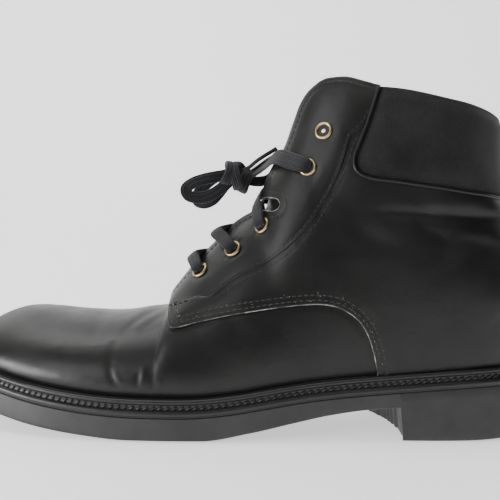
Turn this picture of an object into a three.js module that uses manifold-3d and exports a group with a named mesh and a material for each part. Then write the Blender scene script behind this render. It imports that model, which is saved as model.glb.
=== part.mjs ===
// Leather ankle boot for the left foot: a derby boot with lace-up facings, a padded suede collar,
// a moulded rubber sole unit with its heel, and a ribbed welt. Millimetres, +Z up, toe towards -X,
// the outer side of the foot towards -Y. The origin is on the floor under the middle of the sole.
import * as THREE from 'three';
import Module from 'manifold-3d';

const wasm = await Module();
wasm.setup();

// Driving dimensions of the sole
const SOLE_LENGTH = 312;
const BALL_WIDTH = 103;
const OUTSOLE_THICKNESS = 10.3;
const TOE_SPRING = 16;
const HEEL_RISE = 15.2;
const HEEL_LENGTH = 72.5;
const HEEL_BEVEL = 2.2;
const BREAST_RADIUS = 108;
const BREAST_SHIFT = 25;
const TREAD_EDGE = 1.2;
const WALL_INSET = 0.7;

// Driving dimensions of the welt and the insole
const WELT_THICKNESS = 8.6;
const WELT_SHELF = 4.6;
const RIDGE_HEIGHT = 2.1;
const LOW_RIB_HEIGHT = 1.5;
const GROOVE_DEPTH = 1.4;
const INSOLE_THICKNESS = 6;

// Driving dimensions of the upper
const LAST_HEIGHT = 100;
const LEG_WIDTH = 72;
const LEATHER = 2;
const QUARTER_STEP = 1.3;
const FACING_STEP = 0.6;
const NOTCH_RADIUS = 3.4;
const NOTCH_DEPTH = 12;
const COLLAR_PUFF = 3.2;
const COLLAR_PADDING = 4.5;
const TONGUE_REACH = 0.2;
const TONGUE_THICKNESS = 2.6;

// Driving dimensions of the eyelets and the lace
const EYELET_RADIUS = 4.6;
const EYELET_HOLE = 2.6;
const EYELET_METAL = 0.5;
const EYELET_CROWN = 0.9;
const EYELET_BEVEL = 0.4;
const LACE_WIDTH = 5.6;
const LACE_THICKNESS = 1.8;
const LACE_BULGE = 3.4;
const CORD_DIAMETER = 4.2;
const TIP_DIAMETER = 2.2;
const THROAT_HALF_GAP = 15;

// Clearance where two pieces meet
const GAP = 0.3;
// Edges left by a cut that are shorter than this are closed up
const WELD = 0.02;

const HALF_LENGTH = SOLE_LENGTH / 2;
const FACED = QUARTER_STEP + FACING_STEP;
const LACE_STANDS = EYELET_CROWN + 2 * GAP + 0.5 * LACE_THICKNESS;
const SIDES = [-1, 1];

// The sole's outline by station, toe tip to heel back: distance along it as a share of half the
// length, then its outer and inner edges as shares of the ball width.
const OUTLINE = [
  [0, -1.000, 0.058, 0.058],
  [1, -0.966, -0.080, 0.185],
  [2, -0.890, -0.200, 0.300],
  [3, -0.769, -0.320, 0.405],
  [4, -0.622, -0.410, 0.480],
  [5, -0.462, -0.462, 0.512],
  [6, -0.288, -0.485, 0.492],
  [7, -0.115, -0.480, 0.430],
  [8, 0.077, -0.448, 0.358],
  [9, 0.256, -0.405, 0.314],
  [10, 0.436, -0.387, 0.306],
  [11, 0.615, -0.374, 0.326],
  [12, 0.769, -0.350, 0.318],
  [13, 0.885, -0.275, 0.262],
  [14, 0.968, -0.158, 0.150],
  [15, 1.000, 0.000, 0.000],
];
const STATIONS = OUTLINE.length - 1;

// Heights along the sole by share of half the length: toe spring as a share of its size, the waist
// and heel seat as a share of the heel's rise, and the outsole as a share of its thickness.
const SOLE_LINES = [
  [-1.00, 1.00, 0.00, 1.02],
  [-0.83, 0.68, 0.00, 1.05],
  [-0.71, 0.45, 0.00, 1.05],
  [-0.58, 0.25, 0.00, 1.02],
  [-0.44, 0.10, 0.00, 1.00],
  [-0.28, 0.00, 0.00, 1.00],
  [-0.06, 0.00, 0.00, 0.99],
  [0.08, 0.00, 0.22, 0.96],
  [0.21, 0.00, 0.50, 0.85],
  [0.32, 0.00, 0.74, 0.73],
  [0.43, 0.00, 0.91, 0.64],
  [0.54, 0.00, 1.00, 0.64],
  [0.68, 0.00, 1.12, 0.64],
  [0.83, 0.00, 1.22, 0.64],
  [1.00, 0.00, 1.27, 0.64],
];

// The upper's top line by station, along the vamp ridge, up the facing and round the collar:
// distance as a share of half the length, height as a share of the last's height, half width as a
// share of half the leg's width, and the sideways shift of the ridge as a share of the ball width.
const TOP_LINE = [
  [0.00, -0.728, 0.594, 0.00, 0.053],
  [1.00, -0.728, 0.594, 0.00, 0.053],
  [2.00, -0.686, 0.597, 0.00, 0.052],
  [3.00, -0.628, 0.593, 0.00, 0.050],
  [4.00, -0.532, 0.579, 0.00, 0.045],
  [5.00, -0.410, 0.572, 0.00, 0.035],
  [6.00, -0.269, 0.596, 0.00, 0.020],
  [6.45, -0.208, 0.616, 0.00, 0.010],
  [6.55, -0.199, 0.640, 0.14, 0.008],
  [6.70, -0.188, 0.675, 0.22, 0.006],
  [6.95, -0.163, 0.725, 0.26, 0.003],
  [7.25, -0.119, 0.808, 0.27, 0.000],
  [7.65, -0.055, 0.912, 0.28, 0.000],
  [8.10, 0.026, 1.030, 0.30, 0.000],
  [8.50, 0.096, 1.104, 0.31, 0.000],
  [8.90, 0.121, 1.218, 0.33, 0.000],
  [9.25, 0.144, 1.302, 0.35, 0.000],
  [9.60, 0.186, 1.403, 0.38, 0.000],
  [9.90, 0.217, 1.530, 0.41, 0.000],
  [10.10, 0.243, 1.634, 0.46, 0.000],
  [10.30, 0.274, 1.692, 0.54, 0.000],
  [10.50, 0.320, 1.728, 0.64, 0.000],
  [10.75, 0.373, 1.722, 0.74, 0.000],
  [11.00, 0.432, 1.688, 0.83, 0.000],
  [11.40, 0.492, 1.652, 0.92, 0.000],
  [12.10, 0.592, 1.611, 1.00, 0.000],
  [12.90, 0.712, 1.569, 0.93, 0.000],
  [13.70, 0.806, 1.543, 0.69, 0.000],
  [14.40, 0.862, 1.530, 0.36, 0.000],
  [15.00, 0.885, 1.525, 0.00, 0.000],
];
const THROAT = 6.45;

// Where the heel's bottom starts to rise towards its back, and where the hollow under the arch
// starts and ends, as shares of half the length.
const BEVEL_START = 0.6;
const ARCH_FRONT = -0.055;
const ARCH_BACK = 0.9;

// How full each section is by station, as shares of the last's height: how far the wall leans out
// and rises from the feather, and how far it reaches out and drops from the top line.
const FULLNESS = [
  [0.0, 0.015, 0.070, 0.160, 0.025],
  [1.5, 0.025, 0.090, 0.180, 0.015],
  [3.0, 0.040, 0.130, 0.210, 0.005],
  [5.0, 0.050, 0.170, 0.240, 0.000],
  [6.4, 0.045, 0.210, 0.230, 0.000],
  [7.3, 0.030, 0.280, 0.150, 0.060],
  [8.5, 0.030, 0.380, 0.160, 0.140],
  [9.5, 0.030, 0.450, 0.190, 0.200],
  [10.5, 0.050, 0.450, 0.090, 0.300],
  [12.0, 0.070, 0.400, -0.040, 0.400],
  [13.5, 0.070, 0.400, -0.050, 0.400],
  [15.0, 0.080, 0.380, -0.070, 0.380],
];

// Seams in side view as shares of half the length and of the last's height. The quarter's front
// edge starts above the throat and ends under the welt; the facing's back seam ends at the collar.
const QUARTER_SEAM = [
  [-0.200, 0.900],
  [-0.190, 0.640],
  [-0.186, 0.590],
  [-0.179, 0.540],
  [-0.167, 0.505],
  [-0.150, 0.505],
  [-0.083, 0.532],
  [0.000, 0.562],
  [0.077, 0.584],
  [0.154, 0.603],
  [0.231, 0.618],
  [0.288, 0.623],
  [0.333, 0.614],
  [0.369, 0.590],
  [0.401, 0.554],
  [0.428, 0.494],
  [0.446, 0.414],
  [0.456, 0.340],
  [0.460, 0.290],
  [0.462, 0.100],
];
const FACING_SEAM = [
  [-0.198, 0.595],
  [-0.150, 0.625],
  [-0.083, 0.655],
  [-0.040, 0.655],
  [-0.010, 0.690],
  [0.045, 0.750],
  [0.115, 0.805],
  [0.170, 0.860],
  [0.215, 0.920],
  [0.261, 1.000],
  [0.297, 1.085],
  [0.327, 1.166],
  [0.353, 1.250],
  [0.372, 1.335],
  [0.385, 1.390],
];
const COLLAR_SEAM = [
  [0.477, 1.780],
  [0.477, 1.670],
  [0.460, 1.586],
  [0.437, 1.480],
  [0.414, 1.390],
  [0.399, 1.324],
  [0.401, 1.270],
  [0.416, 1.240],
  [0.447, 1.218],
  [0.517, 1.200],
  [0.570, 1.187],
  [0.647, 1.168],
  [0.722, 1.150],
  [0.824, 1.133],
  [1.060, 1.100],
];
// The eyelets' places and the flexing notch in the facing's edge, as the same shares. The top
// eyelets are left unlaced.
const EYELETS = [
  [-0.088, 0.775],
  [0.019, 0.883],
  [0.115, 1.003],
  [0.259, 1.286],
  [0.309, 1.464],
];
const NOTCH = [0.151, 1.107];

// The lace's knot in front of the facings, and the routes of its loops and ends, in millimetres.
const KNOT = { centre: [2.2, -3, 129], radii: [7.6, 6, 6.4] };
const LOOPS = {
  lace_loop_front: [
    [-5.4, -4.6, 129], [-10, -6.6, 128], [-15, -8, 126.8], [-20.4, -9, 124.8], [-24.2, -9.2, 121.6],
    [-23, -8.8, 118.2], [-18.5, -8.2, 117], [-12.5, -7.4, 118], [-8, -6.4, 120.6], [-4.6, -5.2, 123.4],
  ],
  lace_loop_back: [
    [-5.2, 0.2, 130.4], [-11, 2.4, 128.6], [-16, 3.8, 125.4], [-20, 4.6, 121], [-20.4, 4.4, 116.8],
    [-16.6, 4, 115.2], [-12, 3.2, 116.8], [-8.2, 1.8, 120.6], [-4.8, 0.2, 124.4],
  ],
};
const ENDS = {
  lace_end_front: [[8.3, -4, 133], [12, -4.4, 136], [15.4, -4.4, 138.4], [23.6, -4, 143.4]],
  lace_end_back: [[8.8, 0.4, 131.6], [13, 2, 134.6], [17, 2.6, 137.6], [24, 2.8, 142]],
};
// Stations from each eyelet to where its lace goes over the facing's edge.
const EDGE_SHIFT = [-0.02, -0.14, 0.12];

// The last runs cross the facings' edges at this station, then close in on the knot: distance
// along, share of the gap's half width left, and height.
const RUN_STATION = 9.5;
const RUN_TO_KNOT = [[17.5, 0.45, 133], [10.7, 0.03, 129.6]];

const clamp01 = (t) => Math.min(1, Math.max(0, t));
const mix = (a, b, t) => a + (b - a) * t;
const vec = (x, y, z) => new THREE.Vector3(x, y, z);

// One column of a table read smoothly at a value of its first column, with no overshoot.
function read(table, column, at) {
  const last = table.length - 1;
  let i = 0;
  while (i < last - 1 && at > table[i + 1][0]) i += 1;
  const secant = (k) => (table[k + 1][column] - table[k][column]) / (table[k + 1][0] - table[k][0]);
  const slope = (k) => {
    if (k === 0) return secant(0);
    if (k === last) return secant(last - 1);
    const before = secant(k - 1);
    const after = secant(k);
    return before * after <= 0 ? 0 : (2 * before * after) / (before + after);
  };
  const h = table[i + 1][0] - table[i][0];
  const t = clamp01((at - table[i][0]) / h);
  const s = 1 - t;
  return table[i][column] * s * s * (1 + 2 * t) + table[i + 1][column] * t * t * (1 + 2 * s)
    + h * t * s * (slope(i) * s - slope(i + 1) * t);
}

// A point of the sole's outline at a station of one side, and the direction out of it.
function outlineAt(ring) {
  const turns = 2 * STATIONS;
  const point = (k) => {
    const wrapped = ((k % turns) + turns) % turns;
    const row = OUTLINE[wrapped <= STATIONS ? wrapped : turns - wrapped];
    return [row[1] * HALF_LENGTH, row[wrapped <= STATIONS ? 2 : 3] * BALL_WIDTH];
  };
  const base = Math.floor(ring);
  const t = ring - base;
  const around = [point(base - 1), point(base), point(base + 1), point(base + 2)];
  return [0, 1].map((axis) => {
    const [p0, p1, p2, p3] = around.map((p) => p[axis]);
    return 0.5 * (2 * p1 + (p2 - p0) * t + (2 * p0 - 5 * p1 + 4 * p2 - p3) * t * t
      + (3 * p1 - p0 - 3 * p2 + p3) * t * t * t);
  });
}

function outlineOut(ring) {
  const step = 0.02;
  const [x0, y0] = outlineAt(ring - step);
  const [x1, y1] = outlineAt(ring + step);
  return vec(y1 - y0, x0 - x1, 0).normalize();
}

const ringOf = (station, side) => (side < 0 ? station : 2 * STATIONS - station);

// A point inside the outline by an inset, at height zero.
function rim(station, side, inset) {
  const ring = ringOf(station, side);
  const [x, y] = outlineAt(ring);
  return vec(x, y, 0).addScaledVector(outlineOut(ring), -inset);
}

const springAt = (x) => TOE_SPRING * read(SOLE_LINES, 1, x / HALF_LENGTH);
const waistAt = (x) => HEEL_RISE * read(SOLE_LINES, 2, x / HALF_LENGTH);
const seatAt = (x) => springAt(x) + waistAt(x) + OUTSOLE_THICKNESS * read(SOLE_LINES, 3, x / HALF_LENGTH);
const featherAt = (x) => seatAt(x) + WELT_THICKNESS;

// The upper's surface before any thickness. Along, it runs by station from the toe tip to the heel
// back; up, from -1 at the outsole through 0 at the feather to 1 on the top line.
function skin(station, up, side) {
  const foot = rim(station, side, WELT_SHELF);
  foot.z = featherAt(foot.x);
  if (up <= 0) {
    foot.z = mix(foot.z, seatAt(foot.x) + GAP, -up);
    return foot;
  }
  const out = outlineOut(ringOf(station, side));
  const top = vec(
    HALF_LENGTH * read(TOP_LINE, 1, station),
    side * 0.5 * LEG_WIDTH * read(TOP_LINE, 3, station) + BALL_WIDTH * read(TOP_LINE, 4, station),
    LAST_HEIGHT * read(TOP_LINE, 2, station),
  );
  const [lean, rise, reach, drop] = [1, 2, 3, 4].map((c) => LAST_HEIGHT * read(FULLNESS, c, station));
  const low = foot.clone().addScaledVector(out, lean).add(vec(0, 0, rise));
  const high = top.clone().addScaledVector(out, reach).add(vec(0, 0, -drop));
  const down = 1 - up;
  return foot.multiplyScalar(down ** 3)
    .addScaledVector(low, 3 * down * down * up)
    .addScaledVector(high, 3 * down * up * up)
    .addScaledVector(top, up ** 3);
}

// The same surface read past its middle lines, where the other side of the boot carries on.
function skinAcross(station, up, side) {
  if (station < 0) return skin(-station, up, -side);
  if (station > STATIONS) return skin(2 * STATIONS - station, up, -side);
  if (up > 1) return skin(station, 2 - up, -side);
  return skin(station, up, side);
}

// The direction out of the upper's surface.
function skinOut(station, up, side) {
  if (up <= 0) return outlineOut(ringOf(station, side));
  const step = 0.01;
  if (station <= 1 && up === 1) return skinOut(0, 1 - step, side);
  const onRidge = station <= THROAT;
  const above = onRidge ? up + step : Math.min(1, up + step);
  const ahead = onRidge ? Math.min(THROAT, station + step) : station + step;
  const rise = skinAcross(station, above, side).sub(skin(station, up - step, side));
  const along = skinAcross(ahead, up, side).sub(skinAcross(station - step, up, side));
  return along.cross(rise).multiplyScalar(-side).normalize();
}

const skinAt = (station, up, side, offset) =>
  skin(station, up, side).addScaledVector(skinOut(station, up, side), offset);

// Closed bodies are gathered as quads and triangles of points and welded where points agree.
class Body {
  constructor() {
    this.points = [];
    this.faces = [];
    this.seen = new Map();
  }

  index(p) {
    const key = [p.x, p.y, p.z].map((c) => Math.round(c * 2000)).join();
    if (!this.seen.has(key)) {
      this.seen.set(key, this.points.length / 3);
      this.points.push(p.x, p.y, p.z);
    }
    return this.seen.get(key);
  }

  triangle(a, b, c) {
    const [i, j, k] = [a, b, c].map((p) => this.index(p));
    if (i !== j && j !== k && k !== i) this.faces.push(i, j, k);
  }

  quad(a, b, c, d) {
    this.triangle(a, b, c);
    this.triangle(a, c, d);
  }

  // A grid of points, rows[i][j], facing the side from which i turns to j anticlockwise.
  sheet(rows, flip) {
    for (let i = 0; i + 1 < rows.length; i += 1) {
      for (let j = 0; j + 1 < rows[i].length; j += 1) {
        const [a, b, c, d] = [rows[i][j], rows[i + 1][j], rows[i + 1][j + 1], rows[i][j + 1]];
        if (flip) this.quad(a, d, c, b);
        else this.quad(a, b, c, d);
      }
    }
  }

  solid() {
    return new wasm.Manifold(new wasm.Mesh({
      numProp: 3,
      vertProperties: new Float32Array(this.points),
      triVerts: new Uint32Array(this.faces),
    }));
  }
}

// Evenly spread values with some more between each pair of stops.
function spread(stops, between) {
  const values = [];
  for (let i = 0; i + 1 < stops.length; i += 1) {
    for (let k = 0; k < between; k += 1) values.push(mix(stops[i], stops[i + 1], k / between));
  }
  values.push(stops[stops.length - 1]);
  return values;
}

// A hollow shell between two offsets of the upper's surface, over a run of stations and heights,
// its free edge behind the throat held at a height.
function shell(stations, ups, inner, outer, edge = 1) {
  const body = new Body();
  for (const side of SIDES) {
    const held = (s, up) => (s > THROAT ? Math.min(up, edge) : up);
    const grid = (offset) => stations.map((s) => ups
      .map((up) => skinAt(s, held(s, up), side, offset(s, up))));
    const outside = grid(outer);
    const inside = grid(inner);
    body.sheet(outside, side > 0);
    body.sheet(inside, side < 0);
    const bottom = stations.map((s, i) => [outside[i][0], inside[i][0]]);
    body.sheet(bottom, side < 0);
    const last = ups.length - 1;
    const open = stations.map((s, i) => i).filter((i) => stations[i] >= THROAT || ups[last] < 1);
    body.sheet(open.map((i) => [outside[i][last], inside[i][last]]), side > 0);
    if (stations[0] > 0) {
      body.sheet([outside[0], inside[0]], side < 0);
    }
  }
  return body.solid();
}

// A side view polygon, given in shares, grown outwards by a distance.
function sideView(shares, grow = 0) {
  const points = shares.map(([x, z]) => new THREE.Vector2(x * HALF_LENGTH, z * LAST_HEIGHT));
  if (THREE.ShapeUtils.area(points) < 0) points.reverse();
  const outOf = (a, b) => new THREE.Vector2(b.y - a.y, a.x - b.x).normalize();
  return new THREE.Shape(points.map((p, i) => {
    const before = outOf(points[(i + points.length - 1) % points.length], p);
    const after = outOf(p, points[(i + 1) % points.length]);
    const mitre = before.clone().add(after).divideScalar(1 + before.dot(after));
    return p.clone().addScaledVector(mitre, grow);
  }));
}

// A prism of a side view shape across the whole boot.
function acrossBoot(shape, x = 0, z = 0) {
  const geometry = new THREE.ExtrudeGeometry(shape, {
    depth: 2 * BALL_WIDTH, bevelEnabled: false, curveSegments: 6,
  });
  return toSolid(geometry.rotateX(0.5 * Math.PI).translate(x, BALL_WIDTH, z));
}

// The station and height at which the upper's surface shows a point of the side view.
function findOnSkin(x, z, side) {
  let [station, up] = [9, 0.8];
  const step = 0.01;
  for (let round = 0; round < 30; round += 1) {
    const here = skin(station, up, side);
    const along = skin(station + step, up, side).sub(here).divideScalar(step);
    const rise = skin(station, up - step, side).sub(here).divideScalar(-step);
    const det = along.x * rise.z - along.z * rise.x;
    const [dx, dz] = [x - here.x, z - here.z];
    station += Math.max(-1, Math.min(1, (dx * rise.z - dz * rise.x) / det));
    up = Math.min(1, Math.max(0.1, up + (dz * along.x - dx * along.z) / det));
    station = Math.min(STATIONS - 0.1, Math.max(1.1, station));
  }
  return [station, up];
}

const ALONG = [
  ...spread([0, 1, 2, 3, 4], 2),
  5, 6, 6.25, THROAT, 6.52, 6.6, 6.72, 6.9, 7.15,
  7.45, 7.8, 8.15, 8.5, 8.9, 9.25, 9.6, 9.9, 10.1, 10.3, 10.5,
  11, ...spread([12, 13, 14, 15], 2),
];
const SOLE_ALONG = spread(OUTLINE.map((row) => row[0]), 2);
const UPS = [-1, 0, 0.1, 0.24, 0.41, 0.58, 0.75, 0.9, 1];

// A layer of leather over the upper's wall, rooted in the wall and ending above the welt.
function overlay(step, edge) {
  const along = ALONG.filter((s) => s >= 6);
  const ups = [-0.9, ...UPS.slice(1)];
  return shell(along, ups, () => -0.5 * LEATHER, (s, up) => (up > 0 ? step : -GAP), edge);
}

// The leather quarter with its facings, as the layers that lie over the vamp.
function makeUpper() {
  const quarterRegion = sideView([...QUARTER_SEAM, [1.2, 0.1], [1.2, 2], [-0.2, 2]]);
  const facingRegion = sideView([...FACING_SEAM, [0.41, 1.48], [0.46, 1.65], [0.46, 2], [-0.198, 2]]);
  const [wallEdge, quarterEdge, facingEdge] = [0.985, 0.9925, 1];
  let upper = shell(ALONG, UPS, () => -LEATHER, () => 0, wallEdge)
    .add(overlay(QUARTER_STEP, quarterEdge).intersect(acrossBoot(quarterRegion)))
    .add(overlay(FACED, facingEdge).intersect(acrossBoot(facingRegion)))
    .subtract(acrossBoot(sideView(COLLAR_LOOP, 0.5 * GAP)));
  const notch = new THREE.Shape().absarc(0, 0, NOTCH_RADIUS, -0.58 * Math.PI, 0.42 * Math.PI, false);
  notch.lineTo(-NOTCH_DEPTH, 2 * NOTCH_RADIUS);
  notch.lineTo(-NOTCH_DEPTH, -NOTCH_RADIUS);
  upper = upper.subtract(acrossBoot(notch, NOTCH[0] * HALF_LENGTH, NOTCH[1] * LAST_HEIGHT));
  const bore = EYELET_HOLE + EYELET_METAL + 2 * GAP;
  const seatRadius = EYELET_RADIUS + GAP;
  for (const seat of eyeletSeats()) {
    const hole = new THREE.CylinderGeometry(bore, bore, 6 * LEATHER, 8);
    const pressed = new THREE.CylinderGeometry(seatRadius, seatRadius, 2 * LEATHER, 10);
    pressed.translate(0, LEATHER, 0);
    for (const cut of [hole, pressed]) upper = upper.subtract(toSolid(cut.applyMatrix4(seat.matrix)));
  }
  return upper;
}

// Each eyelet's seat on a facing: its number from the bottom, side, place and lie.
function eyeletSeats() {
  const seats = [];
  for (const side of SIDES) {
    EYELETS.forEach(([x, z], number) => {
      const [station, up] = findOnSkin(x * HALF_LENGTH, z * LAST_HEIGHT, side);
      const out = skinOut(station, up, side);
      const centre = skinAt(station, up, side, FACED);
      const turn = new THREE.Quaternion().setFromUnitVectors(vec(0, 1, 0), out);
      const matrix = new THREE.Matrix4().compose(centre, turn, vec(1, 1, 1));
      seats.push({ number, side, station, up, centre, out, matrix });
    });
  }
  return seats;
}

function toSolid(geometry) {
  const body = new Body();
  const source = geometry.index ? geometry.toNonIndexed() : geometry;
  const positions = source.attributes.position;
  const corner = (i) => vec(0, 0, 0).fromBufferAttribute(positions, i);
  for (let i = 0; i < positions.count; i += 3) body.triangle(corner(i), corner(i + 1), corner(i + 2));
  return body.solid();
}

// A solid's surface, its edges shorter than the weld closed up wherever that leaves it whole.
function toGeometry(solid) {
  const mesh = solid.getMesh();
  const points = [];
  for (let i = 0; i < mesh.vertProperties.length; i += 3) {
    points.push(vec(...mesh.vertProperties.subarray(i, i + 3)));
  }
  const around = points.map(() => new Set());
  for (let i = 0; i < mesh.triVerts.length; i += 3) {
    const face = [...mesh.triVerts.subarray(i, i + 3)];
    for (const v of face) around[v].add(face);
  }
  const neighbours = (v) => new Set([...around[v]].flat());
  const closeUp = (from, to) => {
    const near = neighbours(to);
    const shared = [...neighbours(from)].filter((v) => near.has(v));
    if (shared.length !== 4) return;
    for (const face of around[from]) {
      if (face.includes(to)) {
        for (const v of face) if (v !== from) around[v].delete(face);
      } else {
        face[face.indexOf(from)] = to;
        around[to].add(face);
      }
    }
    around[from].clear();
  };
  points.forEach((p, from) => {
    const to = [...neighbours(from)].find((v) => v !== from && points[v].distanceTo(p) < WELD);
    if (to !== undefined) closeUp(from, to);
  });
  const geometry = new THREE.BufferGeometry().setFromPoints(points);
  geometry.setIndex([...new Set(around.flatMap((faces) => [...faces]))].flat());
  return geometry;
}

// Slab of the sole's plan between two height functions, its wall given as inset and share of height.
function slab(along, wall, topAt, bottomAt) {
  const body = new Body();
  const ringPoints = (side) => along.map((s) => wall.map(([inset, share, lift]) => {
    const p = rim(s, side, inset);
    p.z = mix(bottomAt(p.x), topAt(p.x), share) + lift;
    return p;
  }));
  const [outer, inner] = SIDES.map(ringPoints);
  body.sheet(outer, false);
  body.sheet(inner, true);
  const last = wall.length - 1;
  body.sheet(along.map((s, i) => [outer[i][0], inner[i][0]]), true);
  body.sheet(along.map((s, i) => [outer[i][last], inner[i][last]]), false);
  return body.solid();
}

// The moulded outsole and heel in one: a block of the sole's plan with the waist cut away under
// the arch, up to the hollow breast of the heel.
function makeOutsole() {
  const bevelFrom = BEVEL_START * HALF_LENGTH;
  const heelBottom = (x) => HEEL_BEVEL * Math.max(0, (x - bevelFrom) / (HALF_LENGTH - bevelFrom)) ** 2;
  const treadAt = (x) => springAt(x) + heelBottom(x);
  const wall = [[WALL_INSET + TREAD_EDGE, 0, 0], [WALL_INSET, 0, TREAD_EDGE], [WALL_INSET, 1, 0]];
  const block = slab(SOLE_ALONG, wall, seatAt, treadAt);
  const breastX = HALF_LENGTH - HEEL_LENGTH;
  const underFloor = -0.3;
  const waist = [[4 * ARCH_FRONT, underFloor], [ARCH_FRONT, -0.01]];
  for (const share of spread([0.5 * ARCH_FRONT, ARCH_BACK], 16)) {
    waist.push([share, waistAt(share * HALF_LENGTH) / LAST_HEIGHT]);
  }
  waist.push([ARCH_BACK, underFloor]);
  const pastEdge = 0.6 * BALL_WIDTH;
  const breast = spread([-pastEdge, pastEdge], 12).map((y) => [
    breastX - (y + BREAST_SHIFT) ** 2 / (2 * BREAST_RADIUS), y,
  ]);
  const plan = new THREE.Shape([[-HALF_LENGTH, -pastEdge], ...breast, [-HALF_LENGTH, pastEdge]]
    .map(([x, y]) => new THREE.Vector2(x, y)));
  const ahead = new THREE.ExtrudeGeometry(plan, { depth: 2 * BALL_WIDTH, bevelEnabled: false });
  const underArch = acrossBoot(sideView(waist)).intersect(toSolid(ahead.translate(0, 0, -BALL_WIDTH)));
  return block.subtract(underArch);
}

// The welt strip round the upper: two rounded ribs with the stitched groove between them.
function makeWelt() {
  const inner = WELT_SHELF - GAP;
  const top = WELT_THICKNESS;
  const section = [
    [inner, GAP],
    [WALL_INSET, GAP],
    [0, LOW_RIB_HEIGHT],
    [0, LOW_RIB_HEIGHT + RIDGE_HEIGHT],
    [GROOVE_DEPTH, LOW_RIB_HEIGHT + GAP + RIDGE_HEIGHT],
    [GROOVE_DEPTH, top - RIDGE_HEIGHT],
    [0, top - 0.7 * RIDGE_HEIGHT],
    [0.4, top],
    [inner, top],
  ];
  const body = new Body();
  for (const side of SIDES) {
    const rows = SOLE_ALONG.map((s) => [...section, section[0]].map(([inset, lift]) => {
      const p = rim(s, side, inset);
      p.z = seatAt(p.x) + lift;
      return p;
    }));
    body.sheet(rows, side > 0);
  }
  return body.solid();
}

function makeInsole() {
  const inset = WELT_SHELF + LEATHER + GAP;
  const bottomAt = (x) => seatAt(x) + GAP;
  return slab(ALONG, [[inset, 0, 0], [inset, 1, 0]], (x) => bottomAt(x) + INSOLE_THICKNESS, bottomAt);
}

// The tongue: a strip under the facings from below the throat to just under the top.
function makeTongue() {
  const along = [6.1, 6.3, THROAT, 6.56, 6.75, 7, 7.35, 7.7, 8.1, 8.5, 8.9, 9.3, 9.7, 10];
  const reach = spread([1 - TONGUE_REACH, 1], 3);
  const level = (drop) => along.map((s) => {
    const [outer, inner] = SIDES.map((side) => reach.map((up) => skinAt(s, up, side, -drop)));
    const middle = outer[outer.length - 1].clone().lerp(inner[inner.length - 1], 0.5);
    return [...outer, middle, ...inner.reverse()];
  });
  const outerDrop = LEATHER + 3 * GAP;
  const outside = level(outerDrop);
  const inside = level(outerDrop + TONGUE_THICKNESS);
  const body = new Body();
  body.sheet(outside, false);
  body.sheet(inside, true);
  const last = outside[0].length - 1;
  body.sheet(outside.map((row, i) => [row[0], inside[i][0]]), true);
  body.sheet(outside.map((row, i) => [row[last], inside[i][last]]), false);
  body.sheet([outside[0], inside[0]], true);
  body.sheet([outside[along.length - 1], inside[along.length - 1]], false);
  return body.solid();
}

// The padded collar: soft walls that swell away from its seam, cut to the collar's side view.
function makeCollar() {
  const seam = COLLAR_SEAM.map(([x, z]) => new THREE.Vector2(x * HALF_LENGTH, z * LAST_HEIGHT));
  const toSeam = (p) => {
    const q = new THREE.Vector2(p.x, p.z);
    let best = Infinity;
    for (let i = 0; i + 1 < seam.length; i += 1) {
      const run = seam[i + 1].clone().sub(seam[i]);
      const t = clamp01(q.clone().sub(seam[i]).dot(run) / run.lengthSq());
      best = Math.min(best, q.distanceTo(seam[i].clone().addScaledVector(run, t)));
    }
    return best;
  };
  const [roundedShare, swellOnTop] = [0.05, 0.4];
  const swell = (s, up) => {
    const inward = clamp01(toSeam(skin(s, up, -1)) / (3 * COLLAR_PUFF));
    const fromTop = clamp01((1 - up) / roundedShare);
    return Math.sin(0.5 * Math.PI * inward) * mix(swellOnTop, 1, Math.sin(0.5 * Math.PI * fromTop));
  };
  const along = [10.3, 10.6, 10.8, 11, 11.25, 11.5, ...spread([12, 13, 14, 15], 2)];
  const ups = [0.5, 0.62, 0.68, 0.76, 0.85, 0.93, 0.97, 1];
  const padded = shell(along, ups,
    (s, up) => -LEATHER - (COLLAR_PADDING - LEATHER) * swell(s, up),
    (s, up) => COLLAR_PUFF * swell(s, up));
  return padded.intersect(acrossBoot(sideView(COLLAR_LOOP, -0.5 * GAP)));
}

// An eyelet: a rolled rim on the facing and a barrel through it.
function eyeletGeometry() {
  const depth = LEATHER + FACED + 0.5 * GAP;
  const barrel = EYELET_HOLE + EYELET_METAL;
  const profile = [
    [EYELET_HOLE, -depth],
    [barrel, -depth],
    [barrel, 0.5 * GAP],
    [EYELET_RADIUS, 0.5 * GAP],
    [EYELET_RADIUS - EYELET_BEVEL, EYELET_CROWN],
    [EYELET_HOLE, EYELET_CROWN],
    [EYELET_HOLE, -depth],
  ].map(([r, h]) => new THREE.Vector2(r, h));
  return new THREE.LatheGeometry(profile, 10);
}

// A flat lace along points with the directions that its flat side faces.
function ribbon(points, faces) {
  const curve = new THREE.CatmullRomCurve3(points, false, 'centripetal');
  const steps = 3 * (points.length - 1);
  const ring = [[0.5, 0], [0.3, 0.5], [-0.3, 0.5], [-0.5, 0], [-0.3, -0.5], [0.3, -0.5]];
  const rows = spread([0, 1], steps).map((t) => {
    const at = t * (points.length - 1);
    const k = Math.min(points.length - 2, Math.floor(at));
    const face = faces[k].clone().lerp(faces[k + 1], at - k);
    const centre = curve.getPoint(t);
    const along = curve.getTangent(t);
    const across = along.clone().cross(face).normalize();
    const lift = across.clone().cross(along).normalize();
    return [...ring, ring[0]].map(([w, h]) => centre.clone()
      .addScaledVector(across, w * LACE_WIDTH)
      .addScaledVector(lift, h * LACE_THICKNESS));
  });
  const body = new Body();
  body.sheet(rows, false);
  for (const [row, flip] of [[rows[0], false], [rows[rows.length - 1], true]]) {
    for (let i = 1; i + 2 < row.length; i += 1) {
      if (flip) body.triangle(row[0], row[i + 1], row[i]);
      else body.triangle(row[0], row[i], row[i + 1]);
    }
  }
  return body.solid();
}

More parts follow.
